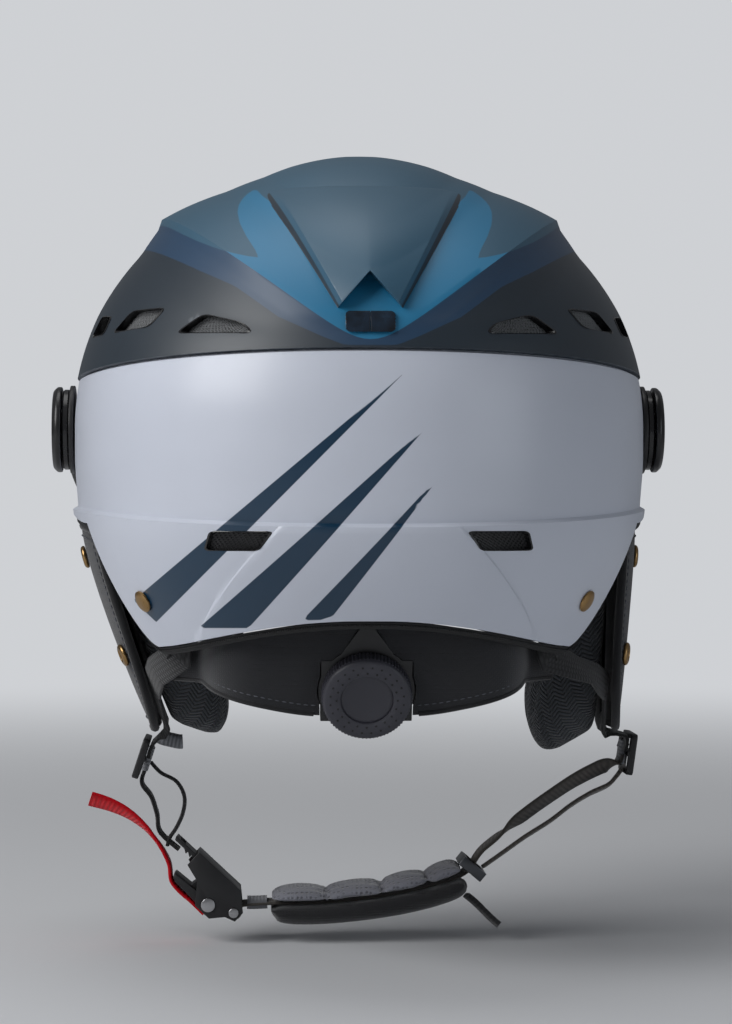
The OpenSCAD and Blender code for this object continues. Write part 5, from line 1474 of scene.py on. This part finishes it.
# %% [markdown]
# ## Nape band
# Round the nape runs a padded band: a soft pad towards the head, a covered outer sheet, and a piping
# along the lower edge. The sheet has a cut-out for the housing of the fit dial.

# %% Nape band
NAPE_W, NAPE_R, NAPE_SLOPE, DIAL_LEAN = HALF_W - 24, REAR - 43, 0.4, math.radians(25)
NAPE_H, NAPE_RISE, RISE_RUN, SHEET_T, SHEET_SWELL = 35, 11, (8, 42), 1.4, 1.2
DIAL_Z = NAPE_Z - 24
DIAL_Y = NAPE_R + 1 + NAPE_SLOPE * (DIAL_Z - NAPE_Z) + 0.9

def nape_at(a, z, off):
    q = rounded(a, NAPE_W + off, NAPE_R + off, 2.0)
    return np.stack([q * cosd(a), q * sind(a) + NAPE_SLOPE * (z - NAPE_Z), z + 0 * q], -1)

def nape_low(a):
    return NAPE_Z - NAPE_H + NAPE_RISE * smooth(90 - fold(a), *RISE_RUN)

def nape_high(a, drop):
    return np.minimum(NAPE_Z - drop, low_z(fold(a)) - drop)

def nape_room(a):
    q = rounded(a, NAPE_W + 1, NAPE_R + 1, 2.0)
    level = (NAPE_R + 1 + 4.6 - q * sind(a)) / sind(a)
    return 1 + FIT_GAP + (level - FIT_GAP) * smooth(fold(a), 50, 70)

def from_dial(p):
    x, y, z = np.moveaxis(np.asarray(p, float), -1, 0)
    lean, rise = math.sin(DIAL_LEAN), math.cos(DIAL_LEAN)
    return np.stack([x, DIAL_Y - lean * y + rise * z, DIAL_Z - rise * y - lean * z], -1)

RING_R, PLATE_W, PLATE_H, POINT_LOW = 17.5, 16.5, 12.3, 27
SHOULDER_W, SHOULDER_Y, NARROWING = 17, -3, 15.5 / 24

def housing_ring(margin):
    ring = []
    for t in turn(96):
        c, s = math.cos(t), math.sin(t)
        r = max(min(PLATE_W / max(abs(c), 1e-6), PLATE_H / max(abs(s), 1e-6)), RING_R)
        if s < -0.15:
            flank = (SHOULDER_W + NARROWING * SHOULDER_Y) / max(1e-6, abs(c) - NARROWING * s)
            r = max(r, min(POINT_LOW / -s, flank))
        ring.append((c * (r + margin), s * (r + margin)))
    return np.array(ring)

print("dial centre at", round(DIAL_Y, 1), DIAL_Z)

# %% [markdown]
# ## Cover, piping and pad of the nape band
# All three follow the band's rule. The cover is cut out round the housing, the piping is a wire along
# the cover's edges that stops short of the dial, and the pad is blown up on the inner side.

# %% Nape cover and pad
def both_halves(line, clear):
    return [line[line[:, 0] > clear], line[line[:, 0] < -clear]]

def nape_cover():
    a = np.linspace(40, 140, 150)
    v = np.linspace(-1, 1, 26)[:, None]
    low, high = nape_low(a), nape_high(a, 0.6)
    z = low + (high - low) * (v + 1) / 2
    grid, swell = np.broadcast_to(a, z.shape), SHEET_SWELL * (1 - v * v) + 0 * z
    outer, inner = (nape_at(grid, z, nape_room(grid) + k) for k in (SHEET_T + swell, swell * 0.9))
    obj = raw("nape_sheet", wall(outer, inner), COVER_CLOTH)
    ring = housing_ring(FIT_GAP)
    carve(obj, [tube([from_dial(np.column_stack([ring, np.full(len(ring), h)])) for h in (1.0, 21.0)])])
    finish(obj, replaces=["nape_cover"], slot="dark_fabric", sharp=45.0)

def nape_edges():
    a = np.linspace(41, 139, 110)
    off = nape_room(a) + 1.0
    for name, z, radius, clear in (("nape_piping", nape_low(a) + 0.6, 1.15, 18),
                                   ("nape_piping_top", nape_high(a, 0.6) - 0.3, 0.7, 4.5)):
        lines = chain(both_halves(nape_at(a, z, off), clear))
        finish(grow(name, *lines, WIRES, BINDING, Radius=radius * MM, Sides=8), slot="dark_fabric")
    rows = [nape_at(a, z, off + 0.95) for z in (nape_low(a) + 3.6, nape_high(a, 5) - 3.0)]
    stitched("nape_stitches", [half for row in rows for half in both_halves(row, 19)], 0.26)

def nape_pad():
    w, u = span((-1, 1, 22), (-1, 1, 100))
    a = 43 + 94 * (u + 1) / 2
    low, high = nape_low(a) + 2.6, nape_high(a, 5) - 0.6
    z = low + (high - low) * (w + 1) / 2
    shape = wall(nape_at(a, z, 0.6), nape_at(a, z, 0.6 - (1.4 + 4.2 * puff(u, 6) * puff(w, 4))))
    seams = lambda p: line_seam(p[:, 0], (-48, -24, 0, 24, 48), 1.5)
    padded("nape_cushion", shape, seams, "nape_pad", cap=1.0)

nape_cover()
nape_edges()
nape_pad()
print("nape band ready")

# %% [markdown]
# ## Fit dial
# The dial that tightens the band is a ribbed knob. Its face has a ring with rows of small holes round
# a recessed disc. The knob is turned from a profile, and the ribs are studs on circles. The holes are
# near-black studs on circles too, and their black is painted shade for the depth of each hole.

# %% Fit dial
KNOB = plastic("knob rubber", rgb(56, 56, 64), 0.5, grain=1100.0, depth=0.03, edge=1.7)
HOLE_SHADE = plastic("painted hole shade", rgb(12, 12, 14), 0.6)
KNOB_Z, DIAL_R, DIAL_T = 5.3, 16.0, 7.0
KNOB_FACE = KNOB_Z + DIAL_T
GRIP = [(3.0, 0.0), (DIAL_R - 1.0, 0.0), (DIAL_R - 0.3, 0.5), (DIAL_R, 1.2), (DIAL_R, DIAL_T - 1.6),
        (DIAL_R - 0.4, DIAL_T - 0.6), (DIAL_R - 1.2, DIAL_T), (9.9, DIAL_T), (9.5, DIAL_T - 0.3),
        (9.4, DIAL_T - 1.3), (3.0, DIAL_T - 1.3)]
DISC = [(0.4, -1.5), (9.6, -1.5), (9.6, -1.1), (8.8, -0.8), (8.2, -0.8), (7.8, -0.95), (0.4, -1.0)]

def turned(profile, count=96, place=from_dial, lift=0.0):
    x, y, one = np.cos(turn(count)), np.sin(turn(count)), np.ones(count)
    return tube([place(np.stack([r * x, r * y, (lift + z) * one], -1)) for r, z in profile])

def dial_studs(name, rings, material, height, radius, top):
    points = []
    for r, count, z, shift in rings:
        for t in (np.arange(count) + shift) / count * 2 * math.pi:
            points.append(from_dial([r * math.cos(t), r * math.sin(t), z]))
    aims = [from_dial([0, 0, 1]) - from_dial([0, 0, 0])] * len(points)
    sizes = {"Radius": radius * MM, "Height": height * MM, "Sides": 8, "Top": top}
    finish(grow(name, points, [], STUDS, material, aims, **sizes), "dial", slot="black_plastic", sharp=50.0)

for name, node, profile, lift in (("dial_grip", "dial_knob", GRIP, KNOB_Z),
                                  ("dial_face", "dial_disc", DISC, KNOB_FACE)):
    solid(name, turned(profile, lift=lift), KNOB, body="dial", replaces=[node], slot="black_plastic",
          sharp=40.0)
# Painted shade: near-black studs stand for the shade inside the small holes of the face ring.
HOLE_RINGS = [(10.9, 20, KNOB_FACE - 0.1, 0), (13.2, 24, KNOB_FACE - 0.1, 0.5)]
dial_studs("dial_hole_shades", HOLE_RINGS, HOLE_SHADE, 0.22, 0.48, 0.75)
dial_studs("dial_ribs", [(15.85, 76, KNOB_Z + 0.9, 0)], KNOB, 4.6, 0.46, 0.9)
print("fit dial ready")

# %% [markdown]
# ## Chin pad
# Under the chin the webbing runs between a smooth sleeve and a crumpled fleece, which is stitched
# into four puffs. The fleece keeps its seams while it is blown up, and small folds run in from them.

# %% Chin pad
FLEECE = fabric("grey fleece", rgb(118, 119, 128), 560.0, 0.8, hole=0.42, sheen=0.4)
CHIN_W, PUFFS, PAD_SEAM = 30.0, 4, WEB_T / 2 + 2 * FIT_GAP
FLEECE_EDGE, FLEECE_SEAM, FLEECE_PUFF, SLEEVE_EDGE, SLEEVE_FULL = 0.7, 1.7, 3.2, 1.2, 6.6
FOLD_H, FOLD_REACH, FOLD_RATE = 0.42, 0.2, 1.15
CHIN_FINE = catmull(CHIN_LINE, 16)
CHIN_AHEAD = unit(np.gradient(CHIN_FINE, axis=0))
CHIN_END = len(CHIN_FINE) - 1

def chin_ring(k, h, w, side):
    t = np.linspace(180, 0, 17) if side > 0 else np.linspace(0, 180, 17)
    out = np.array([CHIN_AHEAD[k][2], 0, -CHIN_AHEAD[k][0]]) * side
    rise = PAD_SEAM + h * np.clip(sind(t), 0, None) ** 0.8
    return CHIN_FINE[k] + out * rise[:, None] + np.stack([0 * t, w / 2 * cosd(t), 0 * t], -1)

def chin_share(p):
    near = np.argmin(np.linalg.norm(p[:, None, [0, 2]] - CHIN_FINE[None, :, [0, 2]], axis=2), 1)
    return near / CHIN_END

def fleece_seam(p):
    return line_seam(chin_share(p), (0.25, 0.5, 0.75), 0.014)

def sleeve_seam(p):
    return 0.6 * line_seam(chin_share(p), (0.03, 0.97), 0.012)

def fleece_ring(i):
    u = i / CHIN_END
    v, k = abs(math.sin(math.pi * PUFFS * u)), puff(2 * u - 1, 8)
    high = FLEECE_EDGE + (FLEECE_SEAM + FLEECE_PUFF * v ** 0.45) * k
    return chin_ring(i, high, CHIN_W - 4.5 + 3 * v ** 0.5 * k, 1)

def sleeve_ring(i):
    return chin_ring(i, SLEEVE_EDGE + SLEEVE_FULL * puff(2 * i / CHIN_END - 1, 10), CHIN_W - 2.4, -1)

def add_folds(obj):
    p, normal = vertices_mm(obj), vertex_normals(obj)
    u = chin_share(p)
    cell = (u * PUFFS) % 1.0
    fade = np.exp(-np.minimum(cell, 1 - cell) / FOLD_REACH)
    wave = np.sin(p[:, 1] * FOLD_RATE + 2.0 * np.floor(u * PUFFS))
    folds = FOLD_H * fade * wave * np.clip(normal[:, 2], 0, 1)
    set_vertices_mm(obj, p + normal * folds[:, None])

add_folds(padded("chin_fleece", tube([fleece_ring(i) for i in range(CHIN_END + 1)]), fleece_seam,
                 "chin_pad_fleece", FLEECE, voxel=2.2, dent=1.0))
padded("chin_sleeve", tube([sleeve_ring(i) for i in range(CHIN_END + 1)]), sleeve_seam, "chin_pad_sleeve",
       cap=0.7, voxel=2.4, dent=0.4)
print("chin pad ready")

# %% [markdown]
# ## Visor
# The visor is a tinted lens on two arms that turn about the screws at the temples. Its surface is
# turned about that axis, so it clears the shell all the way up. The same rule gives the lens, the
# rubber seal along its top and the arms. The lens is glass to the renderer, so the brow pad behind it
# shows through, and its two faces give it a real thickness.

# %% Lens and seal
VISOR_W, VISOR_R, LENS_SET, LENS_T, LENS_UP, LENS_SIDE = 114.05, 133.0, 2.4, 2.0, 10.0, 62
LENS_LOW, CORNER_RISE, NOSE_RISE, LENS_CORNER = -38, 4, 3, 5.0
SMOKE = rgb(112, 120, 130)

def visor_pt(s, t, off):
    q = rounded(90 - s, VISOR_W + off, VISOR_R + off, 2.5)
    r = q * cosd(s)
    return np.stack([q * sind(s), -r * cosd(t), r * sind(t)], -1)

def lens_low(s):
    out = np.abs(s)
    return LENS_LOW + CORNER_RISE * smooth(out, 25, LENS_SIDE) + NOSE_RISE * (1 - smooth(out, 4, 16))

def lens_glass():
    material, tree, shader = new_material("smoked lens")
    noise = use(tree, GRAIN, Scale=500.0, Broad=9.0)
    feed(tree, shader, {"Base Color": cloudy(tree, noise, SMOKE, 0.94, 1.06),
                        "Roughness": spread(tree, noise["Cloud"], 0.03, 0.08),
                        "Transmission Weight": 1.0, "IOR": 1.49})
    bump(tree, shader, noise["Height"], 0.05, 0.01)
    return material

def lens_wall(name, out, inner, low, high, material, slot, node):
    k, s = span((0, 1, 26), (-LENS_SIDE, LENS_SIDE, 125))
    corner = LENS_CORNER * smooth(np.abs(s), LENS_SIDE - 3.5, LENS_SIDE) ** 2
    bottom, top = low(s) + corner * (1 - k), high - corner * k
    t = bottom + (top - bottom) * k
    solid(name, wall(visor_pt(s, t, out), visor_pt(s, t, inner)), material, body="visor", replaces=[node],
          slot=slot, sharp=40.0, bevel=0.35, steps=3)

LENS_BACK = -LENS_SET - LENS_T
lens_wall("lens", -LENS_SET, LENS_BACK, lens_low, LENS_UP, lens_glass(), "tinted_lens", "visor_lens")
lens_wall("lens_seal", LENS_BACK - FIT_GAP, LENS_BACK - 1.6, lambda s: LENS_UP - 4, LENS_UP - 0.3, RUBBER,
          "rubber", "visor_seal")
print("lens", LENS_T, "mm thick")

# %% [markdown]
# ## Visor arms
# An arm is a patch of the visor's own surface that narrows towards the screw. A turned hub closes it
# there, with a bore that leaves the axle free.

# %% Visor arms
ARM_FROM, ARM_TO, ARM_TILT, ARM_HALF, ARM_WIDENS, PER_RADIAN, HUB_X = 57, 83.5, -13, 10, 0.2, 57.3, 111.45
HUB = [(5.05, 0.0), (15.0, 0.0), (15.5, 0.5), (15.5, 2.0), (15.0, 2.5), (5.05, 2.5)]

def visor_arm(side, name):
    k, s = span((-1, 1, 21), (ARM_FROM, ARM_TO, 40))
    r = np.maximum(14, VISOR_R * cosd(s))
    t = ARM_TILT + (ARM_HALF + ARM_WIDENS * (r - 16)) / r * PER_RADIAN * k
    grids = [visor_pt(s, t, off) * [side, 1, 1] for off in (-0.1 - 0.5 * k ** 4, -LENS_SET + 0.15)]
    solid("arm_" + name, wall(*grids), SATIN, body="visor", replaces=["visor_arm_" + name],
          slot="black_plastic", sharp=35.0, bevel=0.4, steps=3)
    t = turn(72)
    rings = [np.stack([np.full(72, side * (HUB_X + x)), r * np.cos(t), r * np.sin(t)], -1) for r, x in HUB]
    solid("arm_hub_" + name, tube(rings, closed=True), SATIN, body="visor", slot="black_plastic",
          sharp=35.0)

for s, side in SIDES:
    visor_arm(s, side)
print("visor ready")

# %% [markdown]
# ## Edge trims
# A strip of rubber covers the cut edge of each shell. It is a closed loop of four corners carried
# along the edge, and a fine bevel rounds it. The strip behind the nape is ribbed, which hides dust and
# scratches, so small studs stand in a row along it.

# %% Edge trims
def edge_strip(name, a, edge, off_out, off_in, drop, node):
    z = edge(fold(a))
    corners = ((drop, off_out), (drop, off_in), (FIT_GAP, off_in), (FIT_GAP, off_out))
    rows = [form(a, z - d, off) for d, off in corners]
    solid(name, tube(np.stack(rows, 1)), RUBBER, replaces=[node], slot="rubber", sharp=40.0, bevel=0.45,
          steps=3)

def rim_ribs():
    a = np.linspace(42, 138, 230)
    z = low_z(fold(a)) - 1.6
    out = unit(form(a, z, 1.0) - form(a, z, 0.0))
    sizes = {"Radius": 0.42 * MM, "Height": 0.5 * MM, "Sides": 6, "Top": 0.7}
    finish(grow("rim_ribs", form(a, z, -LOWER_SET + 0.05), [], STUDS, RUBBER, out, **sizes), slot="rubber")

edge_strip("rim_strip", np.linspace(-34, 214, 300), low_z, -LOWER_SET - 0.3, -4.4, 2.9, "lower_edge_trim")
edge_strip("brow_strip", np.linspace(-134, -46, 120), edge_z, 0.0, -7.2, 2.4, "brow_trim")
rim_ribs()
print("trims ready")

# %% [markdown]
# ## Rivets, snaps and the black patch
# Domed brass heads hold the rear shell and the ear covers. Each is turned from a profile on its own
# spot of the surface. The small glossy patch over the split is a bonded film: two rounded halves with
# a hairline between them, laid on the curve of the shell.

# %% Rivets and snaps
RIVET_A, RIVET_Z = 46.0, -64.0
DOME = [(0.5, -4.2), (1.9, -4.2), (1.9, 0.1), (3.9, 0.1), (4.2, 0.5), (4.1, 0.95), (3.4, 1.4), (2.4, 1.68),
        (1.2, 1.8), (0.3, 1.82)]
SNAP = [(0.5, 0.3), (4.1, 0.3), (4.4, 0.7), (4.4, 1.2), (4.0, 1.75), (3.3, 2.05), (2.6, 2.1), (2.3, 1.75),
        (1.4, 1.6), (0.3, 1.58)]

def spot_frame(at, normal):
    u = unit(np.cross(normal, [0.0, 0.0, 1.0]))
    v = np.cross(normal, u)
    return lambda p: at + p[..., 0:1] * u + p[..., 1:2] * v + p[..., 2:3] * normal

def heads(name, spots, profile, node):
    shapes = [turned(profile, 48, spot_frame(at, normal)) for at, normal in spots]
    solid(name, joined(shapes), BRASS, replaces=[node], slot="brass", sharp=35.0)

def normal_of(surface, a, b, side=1.0):
    du, dv = surface(a + 0.05, b) - surface(a - 0.05, b), surface(a, b + 0.05) - surface(a, b - 0.05)
    n = unit(np.cross(du, dv))
    return n * np.sign(n[0]) * np.sign(side)

def snap_spot(s, u, v):
    return flap_pt(s, u, v, 0.0), normal_of(lambda a, b: flap_pt(s, a, b, 0.0), u, v, s)

rivet = form(RIVET_A, RIVET_Z, 0.6 - LOWER_SET), normal_of(form, RIVET_A, RIVET_Z)
heads("rivet_heads", [[part * [s, 1, 1] for part in rivet] for s, _ in SIDES], DOME, "shell_rivets")
snaps = [snap_spot(s, u, v) for s, _ in SIDES for u, v in ((0.78, 0.62), (-0.78, 0.62), (0.0, 0.16))]
heads("cover_snaps", snaps, SNAP, "ear_snaps")
print(2 + len(snaps), "brass heads")

# %% [markdown]
# ## Black patch
# The film is glossy and slightly uneven, and its outer corners are worn round.

# %% Black patch
PATCH_Z, PATCH_HALF_H, HAIRLINE, PATCH_REACH = 34, 3.7, 0.12, 4.18

def patch_half(side):
    v, u = span((-1, 1, 17), (-1, 1, 21))
    across = HAIRLINE + PATCH_REACH * (u + 1)
    corner = np.clip((across - 7.0) / 1.5, 0, 1)
    z = PATCH_Z + PATCH_HALF_H * v * (1 - 0.28 * corner ** 2)
    ragged = 0.16 * np.sin(z * 5.1) + 0.1 * np.sin(z * 11.3 + 1)
    x = side * (across + ragged * corner)
    a = np.degrees(np.arctan2(back_y(x, z), x))
    swell = 0.12 * (1 - u ** 4) * (1 - v ** 4)
    return wall(form(a, z, crest(a, z) + 1.08 + swell), form(a, z, crest(a, z) + 0.25))

def bonded_film():
    material, tree, shader = new_material("bonded film")
    noise = use(tree, GRAIN, Scale=1800.0, Broad=220.0)
    feed(tree, shader, {"Base Color": mix_colour(tree, noise["Cloud"], rgb(8, 16, 26), rgb(26, 44, 62)),
                        "Roughness": spread(tree, noise["Cloud"], 0.08, 0.22), "Coat Weight": 0.6})
    bump(tree, shader, noise["Cloud"], 0.3, 0.12)
    return material

FILM = bonded_film()
for s, side in SIDES:
    solid("patch_" + side, patch_half(s), FILM, replaces=["rear_patch"] if s > 0 else [],
          slot="gloss_black", sharp=45.0, bevel=0.2)
print("patch ready")

# %% [markdown]
# ## Side bands of the fit system
# A narrow band loops through each toothed arm with slack for its travel and climbs to the foam at the
# temple. It is a strap like the others, much thinner, and it stays inside the nape band.

# %% Side bands
LOOP = from_dial([[31, 0, 3.75], [19.9, 0, 3.75], [17.8, 0, 3.4], [16.9, 0, 2.3], [17.8, 0, 1.2],
                  [19.9, 0, 0.85], [31, 0, 0.85]])
CLIMB = [nape_at(66.0, DIAL_Z + 3, 4.5), nape_at(61.0, DIAL_Z + 9, 3.2), nape_at(60.0, NAPE_Z - 12.2, 2.6),
         nape_at(60.0, NAPE_Z - 9.2, -2.0)]
TEMPLE = [room(58.5, NAPE_Z + z, off) for z, off in ((-6, 1.9), (2, 1.9), (11, 1.5))]
UP = from_dial([0, -1, 0]) - from_dial([0, 0, 0])

for s, side in SIDES:
    path = np.concatenate([LOOP, CLIMB, TEMPLE]) * [s, 1, 1]
    sides = np.array([UP] * 8 + [[0.5, 0, 0.8]] + [[0.85, -0.5, 0]] * 5) * [s, 1, 1]
    strap("fit_band_" + side, path, 4.0, 0.7, sides, replaces=["side_band_" + side], k=3, parts=12)
print("side bands ready")

# %% [markdown]
# ## Finishes for the parts kept from the frame
# Many small mouldings already have their real shape in the frame. They keep it and only get a finish,
# chosen by the slot that the record names for each of them.

# %% Finish the kept parts
FINISH_OF_SLOT = {
    "blue_paint": UPPER_PAINT, "white_paint": REAR_PAINT, "foam": FOAM, "pale_mesh": PALE_MESH,
    "rubber": RUBBER, "gloss_black": SATIN, "brass": BRASS, "dark_fabric": DARK_FABRIC,
    "tinted_lens": SATIN, "steel": STEEL, "black_plastic": BLACK, "pale_plastic": PALE,
    "black_webbing": BLACK_WEB, "brown_webbing": BROWN_WEB, "red_webbing": RED_WEB, "grey_fleece": FLEECE,
}
slot_of = {part["node"]: part["material_slot"] for part in frame["record"]["subparts"]}
for name, node in frame["nodes"].items():
    node.data.materials.clear()
    node.data.materials.append(FINISH_OF_SLOT[slot_of[name]])
print(len(frame["nodes"]), "frame parts have a finish")
